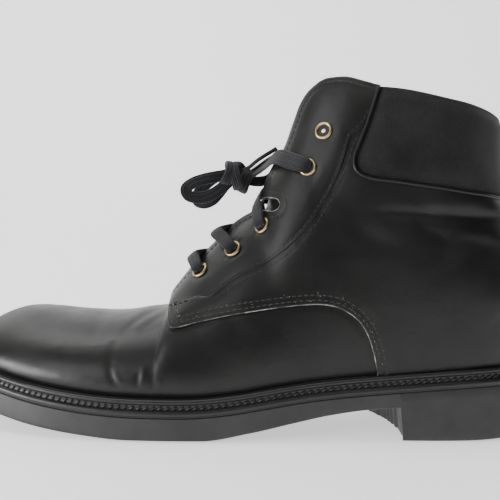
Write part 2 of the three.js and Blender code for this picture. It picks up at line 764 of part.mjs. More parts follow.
// A crossing: two laces, each out of an eyelet, over its facing's edge and on towards the next
// eyelet of the other side, joined where they cross.
function makeCrossing(seats, number) {
  const [nearEdge, longestReach] = [0.96, 0.7];
  const arms = SIDES.map((side) => {
    const from = seats.find((seat) => seat.side === side && seat.number === number);
    const to = seats.find((seat) => seat.side === -side && seat.number === number + 1);
    const edge = from.station + EDGE_SHIFT[number];
    const onward = (share) => mix(edge, Math.min(to.station, edge + longestReach), share);
    const over = skinOut(edge, nearEdge, side);
    const level = vec(over.x, 0, over.z).normalize();
    const between = (share, reach, lift) => skinAt(onward(share), 1, side, 0)
      .multiply(vec(1, reach, 1)).addScaledVector(level, lift);
    const points = [
      from.centre.clone().addScaledVector(from.out, LACE_STANDS),
      skinAt(edge, nearEdge, side, FACED + LACE_BULGE),
      between(0.25, 0.4, 0.5 * LACE_THICKNESS),
      between(0.5, -0.25, 0),
    ];
    return ribbon(points, [from.out, over, level, level]);
  });
  return arms[0].add(arms[1]);
}

// The laces' last runs, from the fourth eyelets over the facings' edges to the knot.
function makeTopRun(seats) {
  const [nearEdge, lobeCentre] = [0.97, 0.95];
  const arms = SIDES.map((side) => {
    const from = seats.find((seat) => seat.side === side && seat.number === 3);
    const over = skinOut(RUN_STATION, nearEdge, side);
    const points = [
      from.centre.clone().addScaledVector(from.out, LACE_STANDS),
      skinAt(RUN_STATION, lobeCentre, side, FACED + LACE_BULGE),
      ...RUN_TO_KNOT.map(([x, y, z]) => vec(x, mix(KNOT.centre[1], side * THROAT_HALF_GAP, y), z)),
    ];
    const level = vec(over.x, 0.3 * over.y, over.z).normalize();
    return ribbon(points, [from.out, over, level, level]);
  });
  return arms[0].add(arms[1]);
}

function cordGeometry(route, diameter, steps) {
  const curve = new THREE.CatmullRomCurve3(route.map((p) => vec(...p)), false, 'centripetal');
  const circle = new THREE.Shape().absarc(0, 0, 0.5 * diameter, 0, 2 * Math.PI, false);
  return new THREE.ExtrudeGeometry(circle, {
    steps, curveSegments: 4, bevelEnabled: false, extrudePath: curve,
  });
}

const COLLAR_LOOP = [...COLLAR_SEAM, [1.06, 2], [0.477, 2]];
const boot = new THREE.Group();
boot.name = 'ankle_boot';

function place(name, geometry, color, roughness = 0.6, metalness = 0) {
  const mesh = new THREE.Mesh(geometry, new THREE.MeshStandardMaterial({ color, roughness, metalness }));
  mesh.name = name;
  boot.add(mesh);
  return mesh;
}

place('outsole', toGeometry(makeOutsole()), 0x1e1e1e, 0.7);
place('welt', toGeometry(makeWelt()), 0x232322, 0.5);
place('insole', toGeometry(makeInsole()), 0x4a4038, 0.9);
place('upper', toGeometry(makeUpper()), 0x2e2e2c, 0.45);
place('collar', toGeometry(makeCollar()), 0x201f1f, 0.95);
place('tongue', toGeometry(makeTongue()), 0x2b2b29, 0.5);

const seats = eyeletSeats();
for (const seat of seats) {
  const side = seat.side < 0 ? 'outer' : 'inner';
  place(`eyelet_${side}_${seat.number + 1}`, eyeletGeometry(), 0xb59a6a, 0.3, 1)
    .applyMatrix4(seat.matrix);
}

const LACE_COLOR = 0x1c1c1e;
for (const number of [0, 1, 2]) {
  place(`lace_crossing_${number + 1}`, toGeometry(makeCrossing(seats, number)), LACE_COLOR, 0.9);
}
place('lace_top_run', toGeometry(makeTopRun(seats)), LACE_COLOR, 0.9);
place('lace_knot', new THREE.SphereGeometry(1, 10, 7), LACE_COLOR, 0.9)
  .applyMatrix4(new THREE.Matrix4().makeScale(...KNOT.radii).setPosition(...KNOT.centre));
for (const [name, route] of Object.entries(LOOPS)) {
  place(name, cordGeometry(route, CORD_DIAMETER, 11), LACE_COLOR, 0.9);
}
for (const [name, route] of Object.entries(ENDS)) {
  place(name, cordGeometry(route, TIP_DIAMETER, 5), LACE_COLOR, 0.6);
}

const middle = new THREE.Box3().setFromObject(boot).getCenter(vec(0, 0, 0));
boot.position.set(-middle.x, -middle.y, 0);

export default boot;
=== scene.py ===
"""Leather ankle boot for the left foot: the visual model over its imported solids. Metres, +Z up,
toe towards -X, the outer side of the foot towards -Y."""
import math

import bmesh
import bpy
import numpy as np
from mathutils import Matrix, Vector


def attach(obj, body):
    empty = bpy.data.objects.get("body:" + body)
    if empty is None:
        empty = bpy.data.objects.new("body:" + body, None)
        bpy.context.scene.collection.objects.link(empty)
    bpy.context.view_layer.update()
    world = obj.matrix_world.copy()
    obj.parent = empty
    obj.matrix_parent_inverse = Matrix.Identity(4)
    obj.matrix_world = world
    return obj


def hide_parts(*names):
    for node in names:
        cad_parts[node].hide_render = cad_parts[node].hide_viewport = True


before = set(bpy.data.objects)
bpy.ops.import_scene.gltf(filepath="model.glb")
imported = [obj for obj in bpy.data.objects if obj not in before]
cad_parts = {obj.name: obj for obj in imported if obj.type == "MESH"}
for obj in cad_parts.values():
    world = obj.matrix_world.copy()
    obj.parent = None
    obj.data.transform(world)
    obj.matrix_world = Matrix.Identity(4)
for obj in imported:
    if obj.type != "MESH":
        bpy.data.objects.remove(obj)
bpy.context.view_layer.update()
rng = np.random.default_rng(41)
MM = 0.001

# Sizes of the sole, welt, insole and upper, as in the solids
SOLE_LENGTH = 312 * MM
BALL_WIDTH = 103 * MM
OUTSOLE_THICKNESS = 10.3 * MM
TOE_SPRING = 16 * MM
HEEL_RISE = 15.2 * MM
HEEL_LENGTH = 72.5 * MM
HEEL_BEVEL = 2.2 * MM
BREAST_RADIUS = 108 * MM
BREAST_SHIFT = 25 * MM
WELT_THICKNESS = 8.6 * MM
WELT_SHELF = 4.6 * MM
INSOLE_THICKNESS = 6 * MM
LAST_HEIGHT = 100 * MM
LEG_WIDTH = 72 * MM
LEATHER = 2 * MM
QUARTER_STEP = 1.3 * MM
FACING_STEP = 0.6 * MM
NOTCH_RADIUS = 3.4 * MM
COLLAR_PUFF = 3.2 * MM
COLLAR_PADDING = 4.5 * MM
TONGUE_THICKNESS = 2.6 * MM
EYELET_RADIUS = 4.6 * MM
EYELET_CROWN = 0.9 * MM
LACE_WIDTH = 6.0 * MM
LACE_THICKNESS = 1.9 * MM
LOOP_WIDTH = 6.2 * MM
TIP_DIAMETER = 2.2 * MM
GAP = 0.3 * MM
HALF_LENGTH = SOLE_LENGTH / 2
SIDE_NAMES = {-1: "outer", 1: "inner"}

# Shares of half the length where the arch starts and where the heel's bevel starts
ARCH_FRONT = -0.055
BEVEL_START = 0.6
# The feather line is evened out over this much to each side
SEAT_EVENING = 14 * MM

# Rows of stitching, by their distance in from the edge of quarter, facing, facing's back and top line
QUARTER_ROWS = (2.0 * MM, 4.4 * MM)
FACING_ROW = 1.6 * MM
BEHIND_FACING_ROW = 2.2 * MM
TOP_ROW = 1.9 * MM

# The sole's outline by station, toe tip to heel back: share of half the length along it, then its
# outer and inner edges as shares of the ball width
OUTLINE = [
    [0, -1.000, 0.058, 0.058],
    [1, -0.966, -0.080, 0.185],
    [2, -0.890, -0.200, 0.300],
    [3, -0.769, -0.320, 0.405],
    [4, -0.622, -0.410, 0.480],
    [5, -0.462, -0.462, 0.512],
    [6, -0.288, -0.485, 0.492],
    [7, -0.115, -0.480, 0.430],
    [8, 0.077, -0.448, 0.358],
    [9, 0.256, -0.405, 0.314],
    [10, 0.436, -0.387, 0.306],
    [11, 0.615, -0.374, 0.326],
    [12, 0.769, -0.350, 0.318],
    [13, 0.885, -0.275, 0.262],
    [14, 0.968, -0.158, 0.150],
    [15, 1.000, 0.000, 0.000],
]
STATIONS = len(OUTLINE) - 1

# Share of half the length, then toe spring, rise of waist and heel seat, and outsole thickness, each
# as a share of its size
SOLE_LINES = [
    [-1.00, 1.00, 0.00, 1.02],
    [-0.83, 0.68, 0.00, 1.05],
    [-0.71, 0.45, 0.00, 1.05],
    [-0.58, 0.25, 0.00, 1.02],
    [-0.44, 0.10, 0.00, 1.00],
    [-0.28, 0.00, 0.00, 1.00],
    [-0.06, 0.00, 0.00, 0.99],
    [0.08, 0.00, 0.22, 0.96],
    [0.21, 0.00, 0.50, 0.85],
    [0.32, 0.00, 0.74, 0.73],
    [0.43, 0.00, 0.91, 0.64],
    [0.54, 0.00, 1.00, 0.64],
    [0.68, 0.00, 1.12, 0.64],
    [0.83, 0.00, 1.22, 0.64],
    [1.00, 0.00, 1.27, 0.64],
]

# The upper's top line by station: share of half the length, height as a share of the last's,
# half width as a share of half the leg's, sideways shift as a share of the ball width
TOP_LINE = [
    [0.00, -0.728, 0.594, 0.00, 0.053],
    [1.00, -0.728, 0.594, 0.00, 0.053],
    [2.00, -0.686, 0.597, 0.00, 0.052],
    [3.00, -0.628, 0.593, 0.00, 0.050],
    [4.00, -0.532, 0.579, 0.00, 0.045],
    [5.00, -0.410, 0.572, 0.00, 0.035],
    [6.00, -0.269, 0.596, 0.00, 0.020],
    [6.45, -0.208, 0.616, 0.00, 0.010],
    [6.55, -0.199, 0.640, 0.14, 0.008],
    [6.70, -0.188, 0.675, 0.22, 0.006],
    [6.95, -0.163, 0.725, 0.26, 0.003],
    [7.25, -0.119, 0.808, 0.27, 0.000],
    [7.65, -0.055, 0.912, 0.28, 0.000],
    [8.10, 0.026, 1.030, 0.30, 0.000],
    [8.50, 0.096, 1.104, 0.31, 0.000],
    [8.90, 0.121, 1.218, 0.33, 0.000],
    [9.25, 0.144, 1.302, 0.35, 0.000],
    [9.60, 0.186, 1.403, 0.38, 0.000],
    [9.90, 0.217, 1.530, 0.41, 0.000],
    [10.10, 0.243, 1.634, 0.46, 0.000],
    [10.30, 0.274, 1.692, 0.54, 0.000],
    [10.50, 0.320, 1.728, 0.64, 0.000],
    [10.75, 0.373, 1.722, 0.74, 0.000],
    [11.00, 0.432, 1.688, 0.83, 0.000],
    [11.40, 0.492, 1.652, 0.92, 0.000],
    [12.10, 0.592, 1.611, 1.00, 0.000],
    [12.90, 0.712, 1.569, 0.93, 0.000],
    [13.70, 0.806, 1.543, 0.69, 0.000],
    [14.40, 0.862, 1.530, 0.36, 0.000],
    [15.00, 0.885, 1.525, 0.00, 0.000],
]
THROAT = 6.45

# How full each section is by station, as shares of the last's height: lean and rise from the
# feather, reach and drop from the top line
FULLNESS = [
    [0.0, 0.015, 0.070, 0.160, 0.025],
    [1.5, 0.025, 0.090, 0.180, 0.015],
    [3.0, 0.040, 0.130, 0.210, 0.005],
    [5.0, 0.050, 0.170, 0.240, 0.000],
    [6.4, 0.045, 0.210, 0.230, 0.000],
    [7.3, 0.030, 0.280, 0.150, 0.060],
    [8.5, 0.030, 0.380, 0.160, 0.140],
    [9.5, 0.030, 0.450, 0.190, 0.200],
    [10.5, 0.050, 0.450, 0.090, 0.300],
    [12.0, 0.070, 0.400, -0.040, 0.400],
    [13.5, 0.070, 0.400, -0.050, 0.400],
    [15.0, 0.080, 0.380, -0.070, 0.380],
]

# Seams in side view: shares of half the length and of the last's height
QUARTER_SEAM = [
    [-0.200, 0.900],
    [-0.190, 0.640],
    [-0.186, 0.590],
    [-0.179, 0.540],
    [-0.167, 0.505],
    [-0.150, 0.505],
    [-0.083, 0.532],
    [0.000, 0.562],
    [0.077, 0.584],
    [0.154, 0.603],
    [0.231, 0.618],
    [0.288, 0.623],
    [0.333, 0.614],
    [0.369, 0.590],
    [0.401, 0.554],
    [0.428, 0.494],
    [0.446, 0.414],
    [0.456, 0.340],
    [0.460, 0.290],
    [0.462, 0.100],
]
FACING_SEAM = [
    [-0.260, 0.560],
    [-0.198, 0.595],
    [-0.150, 0.625],
    [-0.083, 0.655],
    [-0.040, 0.655],
    [-0.010, 0.690],
    [0.045, 0.750],
    [0.115, 0.805],
    [0.170, 0.860],
    [0.215, 0.920],
    [0.261, 1.000],
    [0.297, 1.085],
    [0.327, 1.166],
    [0.353, 1.250],
    [0.372, 1.335],
    [0.395, 1.440],
]
COLLAR_SEAM = [
    [0.477, 1.900],
    [0.477, 1.780],
    [0.477, 1.670],
    [0.460, 1.586],
    [0.437, 1.480],
    [0.414, 1.390],
    [0.399, 1.324],
    [0.401, 1.270],
    [0.416, 1.240],
    [0.447, 1.218],
    [0.517, 1.200],
    [0.570, 1.187],
    [0.647, 1.168],
    [0.722, 1.150],
    [0.824, 1.133],
    [1.060, 1.100],
]
EYELETS = [
    [-0.088, 0.775],
    [0.019, 0.883],
    [0.115, 1.003],
    [0.259, 1.286],
    [0.309, 1.464],
]
NOTCH = [0.151, 1.107]
NOTCH_TURN = math.radians(166)


def read(table, column, at):
    """One column of a table read smoothly at values of its first column, with no overshoot."""
    rows = np.array(table, float)
    x, y = rows[:, 0], rows[:, column]
    h = np.diff(x)
    secant = np.diff(y) / h
    before, after = secant[:-1], secant[1:]
    level = before * after <= 0
    inner = np.where(level, 0, 2 * before * after / np.where(level, 1, before + after))
    slope = np.concatenate([secant[:1], inner, secant[-1:]])
    at = np.clip(np.asarray(at, float), x[0], x[-1])
    i = np.clip(np.searchsorted(x, at, "right") - 1, 0, len(x) - 2)
    t = (at - x[i]) / h[i]
    s = 1 - t
    ends = y[i] * s * s * (1 + 2 * t) + y[i + 1] * t * t * (1 + 2 * s)
    return ends + h[i] * t * s * (slope[i] * s - slope[i + 1] * t)


def outline(ring):
    """Points of the sole's outline, the ring running round from the toe along the outer side."""
    turns = 2 * STATIONS
    rows = np.array(OUTLINE, float)
    outer = np.stack([rows[:, 1] * HALF_LENGTH, rows[:, 2] * BALL_WIDTH], 1)
    inner = np.stack([rows[:, 1] * HALF_LENGTH, rows[:, 3] * BALL_WIDTH], 1)
    loop = np.concatenate([outer, inner[-2:0:-1]])
    ring = np.asarray(ring, float)
    base = np.floor(ring).astype(int)
    t = (ring - base)[..., None]
    p0, p1, p2, p3 = (loop[(base + k) % turns] for k in (-1, 0, 1, 2))
    return 0.5 * (2 * p1 + (p2 - p0) * t + (2 * p0 - 5 * p1 + 4 * p2 - p3) * t * t
                  + (3 * p1 - p0 - 3 * p2 + p3) * t ** 3)


def unit(v):
    return v / np.maximum(np.linalg.norm(v, axis=-1, keepdims=True), 1e-12)


def outline_out(ring):
    step = 0.02
    along = outline(np.asarray(ring) + step) - outline(np.asarray(ring) - step)
    return unit(np.stack([along[..., 1], -along[..., 0], 0 * along[..., 0]], -1))


def ring_of(station, side):
    return station if side < 0 else 2 * STATIONS - station


def rim(ring, inset):
    """Points inside the outline by an inset, at height zero."""
    p = outline(ring)
    flat = np.concatenate([p, np.zeros(p.shape[:-1] + (1,))], -1)
    return flat - outline_out(ring) * np.asarray(inset)[..., None]


def spring_at(x):
    return TOE_SPRING * read(SOLE_LINES, 1, x / HALF_LENGTH)


def waist_at(x):
    return HEEL_RISE * read(SOLE_LINES, 2, x / HALF_LENGTH)


def seat_at(x):
    """Height of the outsole's top, evened out along the sole."""
    x = np.asarray(x, float)
    shifts = np.linspace(-SEAT_EVENING, SEAT_EVENING, 5)
    total = 0
    for shift in shifts:
        at = np.clip(x + shift, -HALF_LENGTH, HALF_LENGTH)
        thick = OUTSOLE_THICKNESS * read(SOLE_LINES, 3, at / HALF_LENGTH)
        total = total + spring_at(at) + waist_at(at) + thick
    return total / len(shifts)


def skin(s, u, side):
    """The upper's surface before any thickness: s runs from the toe tip to the heel back, u from -1
    at the outsole through 0 at the feather to 1 on the top line."""
    s, u = np.broadcast_arrays(np.asarray(s, float), np.asarray(u, float))
    ring = ring_of(s, side)
    foot = rim(ring, np.full(s.shape, WELT_SHELF))
    feather = seat_at(foot[..., 0]) + WELT_THICKNESS
    foot[..., 2] = feather
    out = outline_out(ring)
    top = np.stack([
        HALF_LENGTH * read(TOP_LINE, 1, s),
        side * 0.5 * LEG_WIDTH * read(TOP_LINE, 3, s) + BALL_WIDTH * read(TOP_LINE, 4, s),
        LAST_HEIGHT * read(TOP_LINE, 2, s),
    ], -1)
    lean, rise, reach, drop = (LAST_HEIGHT * read(FULLNESS, c, s)[..., None] for c in (1, 2, 3, 4))
    up_axis = np.array([0, 0, 1.0])
    low = foot + out * lean + up_axis * rise
    high = top + out * reach - up_axis * drop
    t = np.clip(u, 0, 1)[..., None]
    d = 1 - t
    p = foot * d ** 3 + low * 3 * d * d * t + high * 3 * d * t * t + top * t ** 3
    under = np.clip(-u, 0, 1)
    p[..., 2] += under * (seat_at(foot[..., 0]) + GAP - feather)
    return p


def skin_across(s, u, side):
    """The same surface read past its middle lines, where the other side carries on."""
    over = u > 1
    behind = s > STATIONS
    before = s < 0
    s_in = np.where(behind, 2 * STATIONS - s, np.abs(s))
    u_in = np.where(over, 2 - u, u)
    other = over | behind | before
    return np.where(other[..., None], skin(s_in, u_in, -side), skin(s_in, u_in, side))


def skin_out(s, u, side):
    """The direction out of the upper's surface."""
    step = 0.01
    s, u = np.broadcast_arrays(np.asarray(s, float), np.asarray(u, float))
    on_ridge = s <= THROAT
    u_at = np.where((s <= 1) & (u >= 1), 1 - step, np.maximum(u, step))
    s_at = np.where((s <= 1) & (u >= 1), 0, s)
    above = np.where(on_ridge, u_at + step, np.minimum(1, u_at + step))
    ahead = np.where(on_ridge, np.minimum(THROAT, s_at + step), s_at + step)
    rise = skin_across(s_at, above, side) - skin(s_at, u_at - step, side)
    along = skin_across(ahead, u_at, side) - skin_across(s_at - step, u_at, side)
    n = unit(np.cross(along, rise) * -side)
    return np.where((u <= 0)[..., None], outline_out(ring_of(s, side)), n)


def rise_dir(s, side):
    """The direction in the surface, up and over the top line."""
    return unit(skin(s, np.ones_like(s), side) - skin(s, np.full_like(s, 0.97), side))


# The box is centred across the sole, as the solids are
_edge = outline(np.linspace(0, 2 * STATIONS, 1201))[:, 1]
SHIFT = -0.5 * (_edge.min() + _edge.max())


def place(points):
    return np.asarray(points, float) + np.array([0, SHIFT, 0])


def curve_span(points, i, count):
    """Points of a centripetal curve from point i on towards the next one."""
    p0, p1, p2, p3 = points[i - 1:i + 3]
    d = [max(1e-9, np.linalg.norm(b - a)) ** 0.5 for a, b in ((p0, p1), (p1, p2), (p2, p3))]
    m1 = ((p1 - p0) / d[0] - (p2 - p0) / (d[0] + d[1]) + (p2 - p1) / d[1]) * d[1]
    m2 = ((p2 - p1) / d[1] - (p3 - p1) / (d[1] + d[2]) + (p3 - p2) / d[2]) * d[1]
    return [p1 * (2 * t ** 3 - 3 * t * t + 1) + m1 * (t ** 3 - 2 * t * t + t)
            + p2 * (3 * t * t - 2 * t ** 3) + m2 * (t ** 3 - t * t) for t in np.arange(count) / count]


def curve(points, count_of):
    """A curve through points, with count_of(length) steps between each two."""
    pts = [np.array(p, float) for p in points]
    pts = [2 * pts[0] - pts[1], *pts, 2 * pts[-1] - pts[-2]]
    out = []
    for i in range(1, len(pts) - 2):
        out += curve_span(pts, i, count_of(np.linalg.norm(pts[i + 1] - pts[i])))
    return np.array([*out, pts[-2]])


def smooth_line(rows, step=0.7 * MM):
    """A curve through side view shares, as closely spaced points in metres."""
    points = [[x * HALF_LENGTH, z * LAST_HEIGHT] for x, z in rows]
    return curve(points, lambda length: max(2, int(length / step)))


def catmull(points, per=8):
    """A curve through points, with the same number of steps between each two."""
    return curve(points, lambda length: per)


def signed(line, x, z):
    """Distance in side view from a line, positive to the left of its run."""
    p = np.stack([x, z], -1).reshape(-1, 2)
    a, b = line[:-1], line[1:]
    run = b - a
    best = np.full(len(p), np.inf)
    sign = np.ones(len(p))
    for i in range(len(a)):
        w = p - a[i]
        t = np.clip(w @ run[i] / max(run[i] @ run[i], 1e-18), 0, 1)
        d = np.linalg.norm(w - t[:, None] * run[i], axis=1)
        side = run[i][0] * w[:, 1] - run[i][1] * w[:, 0]
        near = d < best - 1e-9
        sign = np.where(near, np.where(side >= 0, 1.0, -1.0), sign)
        best = np.where(near, d, best)
    return (sign * best).reshape(np.shape(x))


QUARTER_LINE = smooth_line(QUARTER_SEAM)
FACING_LINE = smooth_line([*FACING_SEAM, [0.402, 1.440], [0.435, 1.500], [0.470, 1.600], [0.490, 2.000]])
COLLAR_LINE = smooth_line(COLLAR_SEAM)


def top_line_view():
    s = np.linspace(THROAT, 11.1, 260)
    return np.stack([HALF_LENGTH * read(TOP_LINE, 1, s), LAST_HEIGHT * read(TOP_LINE, 2, s)], -1)


TOP_VIEW = top_line_view()


def from_notch(x, z):
    """Distance from the flexing notch, which runs on out past the facing's edge."""
    axis = np.array([math.cos(NOTCH_TURN), math.sin(NOTCH_TURN)])
    dx, dz = x - NOTCH[0] * HALF_LENGTH, z - NOTCH[1] * LAST_HEIGHT
    along = np.clip(dx * axis[0] + dz * axis[1], 0, 0.03)
    return np.hypot(dx - along * axis[0], dz - along * axis[1]) - NOTCH_RADIUS


FIELDS = {
    "x": lambda x, z: x,
    "quarter": lambda x, z: signed(QUARTER_LINE, x, z),
    "facing": lambda x, z: signed(FACING_LINE, x, z),
    "collar": lambda x, z: signed(COLLAR_LINE, x, z),
    "notch": from_notch,
    "edge": lambda x, z: np.minimum(np.abs(signed(TOP_VIEW, x, z)), from_notch(x, z) - 1.2 * MM),
}


class Patch:
    """A triangle net over one side of the upper, cut along lines where a field has a level."""

    def __init__(self, side, stations, ups, fields):
        self.side = side
        s, u = np.meshgrid(stations, ups, indexing="ij")
        self.s, self.u = s.ravel(), u.ravel()
        rows, cols = s.shape
        k = np.arange(rows * cols).reshape(rows, cols)
        a, b, c, d = k[:-1, :-1].ravel(), k[1:, :-1].ravel(), k[1:, 1:].ravel(), k[:-1, 1:].ravel()
        self.tris = np.concatenate([np.stack([a, b, c], 1), np.stack([a, c, d], 1)])
        p = skin(self.s, self.u, side)
        self.field = {f: FIELDS[f](p[:, 0], p[:, 2]) for f in fields}
        edge = (self.s == stations[0]) | (self.s == stations[-1])
        self.locked = edge | (self.u == ups[0]) | (self.u == ups[-1])
        self.cut = np.zeros(len(self.s), bool)

    def lerp(self, i, j, t):
        self.s = np.append(self.s, self.s[i] + (self.s[j] - self.s[i]) * t)
        self.u = np.append(self.u, self.u[i] + (self.u[j] - self.u[i]) * t)
        for f, v in self.field.items():
            self.field[f] = np.append(v, v[i] + (v[j] - v[i]) * t)
        both = self.locked[i] & self.locked[j]
        self.locked = np.append(self.locked, np.ones(len(both), bool))
        self.cut = np.append(self.cut, np.zeros(len(both), bool))

    def edges(self):
        e = np.concatenate([self.tris[:, [0, 1]], self.tris[:, [1, 2]], self.tris[:, [2, 0]]])
        return np.unique(np.sort(e, 1), axis=0)

    def slice(self, field, level, mark=False):
        """Puts an edge row along the level, moving near points on to it first."""
        v = self.field[field] - level
        e = self.edges()
        cross = v[e[:, 0]] * v[e[:, 1]] < 0
        e = e[cross]
        t = v[e[:, 0]] / (v[e[:, 0]] - v[e[:, 1]])
        for near, far, share in ((e[:, 0], e[:, 1], t), (e[:, 1], e[:, 0], 1 - t)):
            move = (share < 0.2) & ~self.locked[near]
            i, j, w = near[move], far[move], share[move]
            first = np.unique(i, return_index=True)[1]
            i, j, w = i[first], j[first], w[first]
            fresh = np.abs(v[i]) > 0
            i, j, w = i[fresh], j[fresh], w[fresh]
            self.s[i] += (self.s[j] - self.s[i]) * w
            self.u[i] += (self.u[j] - self.u[i]) * w
            for f in self.field:
                self.field[f][i] += (self.field[f][j] - self.field[f][i]) * w
            self.field[field][i] = level
            v[i] = 0
            self.locked[i] = True
        e = self.edges()
        cross = v[e[:, 0]] * v[e[:, 1]] < 0
        e = e[cross]
        t = v[e[:, 0]] / (v[e[:, 0]] - v[e[:, 1]])
        first_new = len(self.s)
        self.lerp(e[:, 0], e[:, 1], t)
        self.field[field][first_new:] = level
        new = {(a, b): first_new + k for k, (a, b) in enumerate(e.tolist())}
        v = self.field[field] - level
        signs = np.sign(v[self.tris])
        crossing = (signs.min(1) < 0) & (signs.max(1) > 0)
        made = []
        for tri in self.tris[crossing].tolist():
            ring = []
            for k in range(3):
                a, b = tri[k], tri[(k + 1) % 3]
                ring.append(a)
                mid = new.get((min(a, b), max(a, b)))
                if mid is not None:
                    ring.append(mid)
            for keep in (1, -1):
                part = [i for i in ring if v[i] * keep >= 0]
                for k in range(1, len(part) - 1):
                    made.append([part[0], part[k], part[k + 1]])
        kept = self.tris[~crossing]
        self.tris = np.concatenate([kept, np.array(made, int).reshape(-1, 3)])
        if mark:
            self.cut |= np.abs(v) < 1e-9

    def keep(self, field, level, above=True):
        """Cuts the net at the level and keeps one side of it."""
        self.slice(field, level, mark=True)
        v = self.field[field][self.tris] - level
        middle = v.sum(1)
        self.tris = self.tris[middle > 0 if above else middle < 0]

    def isoline(self, field, level):
        """The longest run of edges on a level, as an ordered list of points of the net."""
        v = np.abs(self.field[field] - level) < 1e-9
        e = self.edges()
        e = e[v[e[:, 0]] & v[e[:, 1]]]
        links = {}
        for a, b in e.tolist():
            links.setdefault(a, []).append(b)
            links.setdefault(b, []).append(a)
        runs, seen = [], set()
        starts = [k for k in links if len(links[k]) == 1] + list(links)
        for start in starts:
            if start in seen:
                continue
            run = [start]
            seen.add(start)
            while True:
                onward = [k for k in links[run[-1]] if k not in seen]
                if not onward:
                    break
                run.append(onward[0])
                seen.add(onward[0])
            runs.append(run)
        return runs

    def compact(self):
        used = np.unique(self.tris)
        index = np.full(len(self.s), -1)
        index[used] = np.arange(len(used))
        self.tris = index[self.tris]
        self.s, self.u = self.s[used], self.u[used]
        self.field = {f: v[used] for f, v in self.field.items()}
        self.locked, self.cut = self.locked[used], self.cut[used]


def border(tris):
    """Directed edges with a face on one side only."""
    e = np.concatenate([tris[:, [0, 1]], tris[:, [1, 2]], tris[:, [2, 0]]])
    pairs = {(a, b) for a, b in e.tolist()}
    return [(a, b) for a, b in pairs if (b, a) not in pairs]


# Creases and folds in side view: points along, width across and depth, in millimetres, and the side
# that it shows on (0 for both). A negative depth is a ridge.
CREASES = [
    ([(-55.2, 44), (-54, 35), (-50.4, 26), (-48, 22)], 3.0, 0.5, -1),
    ([(-52.5, 34), (-50.6, 29), (-47.4, 25)], 2.0, -0.4, -1),
    ([(-37.2, 34), (-37.4, 28), (-37.9, 22)], 2.2, -0.35, -1),
    ([(-39.6, 31), (-39.8, 22)], 2.4, 0.3, -1),
    ([(-29, 28), (-29.2, 20)], 1.6, -0.3, -1),
    ([(-33, 30), (-32.5, 21)], 2.0, 0.25, -1),
    ([(-31, 61.5), (-39, 58), (-47, 53), (-53, 47)], 3.0, 0.45, 0),
    ([(-30, 58), (-38, 53), (-44, 48)], 3.0, 0.35, -1),
    ([(-33, 64), (-42, 60.5), (-50, 57)], 3.2, -0.25, 0),
    ([(-70, 58), (-67, 50), (-66, 42)], 5.0, 0.2, 0),
    ([(-1, 55), (5, 52.6), (11, 50.6)], 3.0, 0.35, -1),
    ([(2, 50), (9, 47.5), (16, 47)], 4.0, 0.3, -1),
    ([(66, 106), (82, 105), (108, 103.4), (140, 102)], 3.6, 1.1, 0),
    ([(92, 113), (115, 111), (142, 107)], 6.5, -0.8, 0),
    ([(88, 100), (96, 96.5), (106, 92)], 3.0, 0.45, 0),
    ([(106, 97.5), (122, 95), (142, 90)], 5.0, -0.7, 0),
    ([(112, 82), (121, 70), (130, 57)], 16.0, -0.7, 0),
    ([(58, 100), (71, 92), (84, 88)], 6.0, 0.45, 0),
    ([(62, 108), (70, 96), (74, 84)], 8.0, 0.35, -1),
]


def crease_depth(x, z, side):
    total = np.zeros_like(x)
    for points, width, depth, on in CREASES:
        if on and on != side:
            continue
        line = smooth_line([(px * MM / HALF_LENGTH, pz * MM / LAST_HEIGHT) for px, pz in points], 3 * MM)
        reach = 2 * width * MM
        near = (x > line[:, 0].min() - reach) & (x < line[:, 0].max() + reach)
        near &= (z > line[:, 1].min() - reach) & (z < line[:, 1].max() + reach)
        p = np.stack([x[near], z[near]], -1)[:, None, :]
        start, run = line[:-1], np.diff(line, axis=0)
        t = np.clip(((p - start) * run).sum(-1) / (run ** 2).sum(-1), 0, 1)
        d2 = ((p - start - run * t[..., None]) ** 2).sum(-1)
        k = d2.argmin(1)
        row = np.arange(len(k))
        share = (k + t[row, k]) / len(run)
        fade = np.sin(np.pi * np.clip(share, 0, 1)) ** 0.6
        total[near] += -depth * MM * fade * np.exp(-0.5 * d2[row, k] / (0.5 * width * MM) ** 2)
    return total


def rolled(d, step, radius):
    """Height of a layer near its cut edge, with the edge rounded over."""
    t = np.clip(d / radius, 0, 1)
    return step - radius * 0.8 * (1 - np.sqrt(np.clip(1 - (1 - t) ** 2, 0, 1)))


def groove(d, width, depth):
    return -depth * np.exp(-0.5 * (d / width) ** 2)


def quads(rows, n, first=0, around=True, ring=False, flip=False):
    """Faces between rows of n points: around joins the ends of each row, ring the last row to the first."""
    faces = []
    for i in range(rows if ring else rows - 1):
        here, there = first + i * n, first + (i + 1) % rows * n
        for k in range(n if around else n - 1):
            q = (k + 1) % n
            if flip:
                faces.append([here + k, there + k, there + q, here + q])
            else:
                faces.append([here + k, here + q, there + q, there + k])
    return faces


def caps(rows, n, first=0, flip=False):
    """Faces that close the first and the last row of a tube."""
    start = [first + k for k in range(n)]
    end = [first + (rows - 1) * n + k for k in range(n)]
    return [start, end[::-1]] if flip else [start[::-1], end]


def circle(centre, a, b, sides):
    """Points round a centre; a and b are two of its radii."""
    turn = 2 * math.pi / sides
    return [centre + a * math.cos(k * turn) + b * math.sin(k * turn) for k in range(sides)]


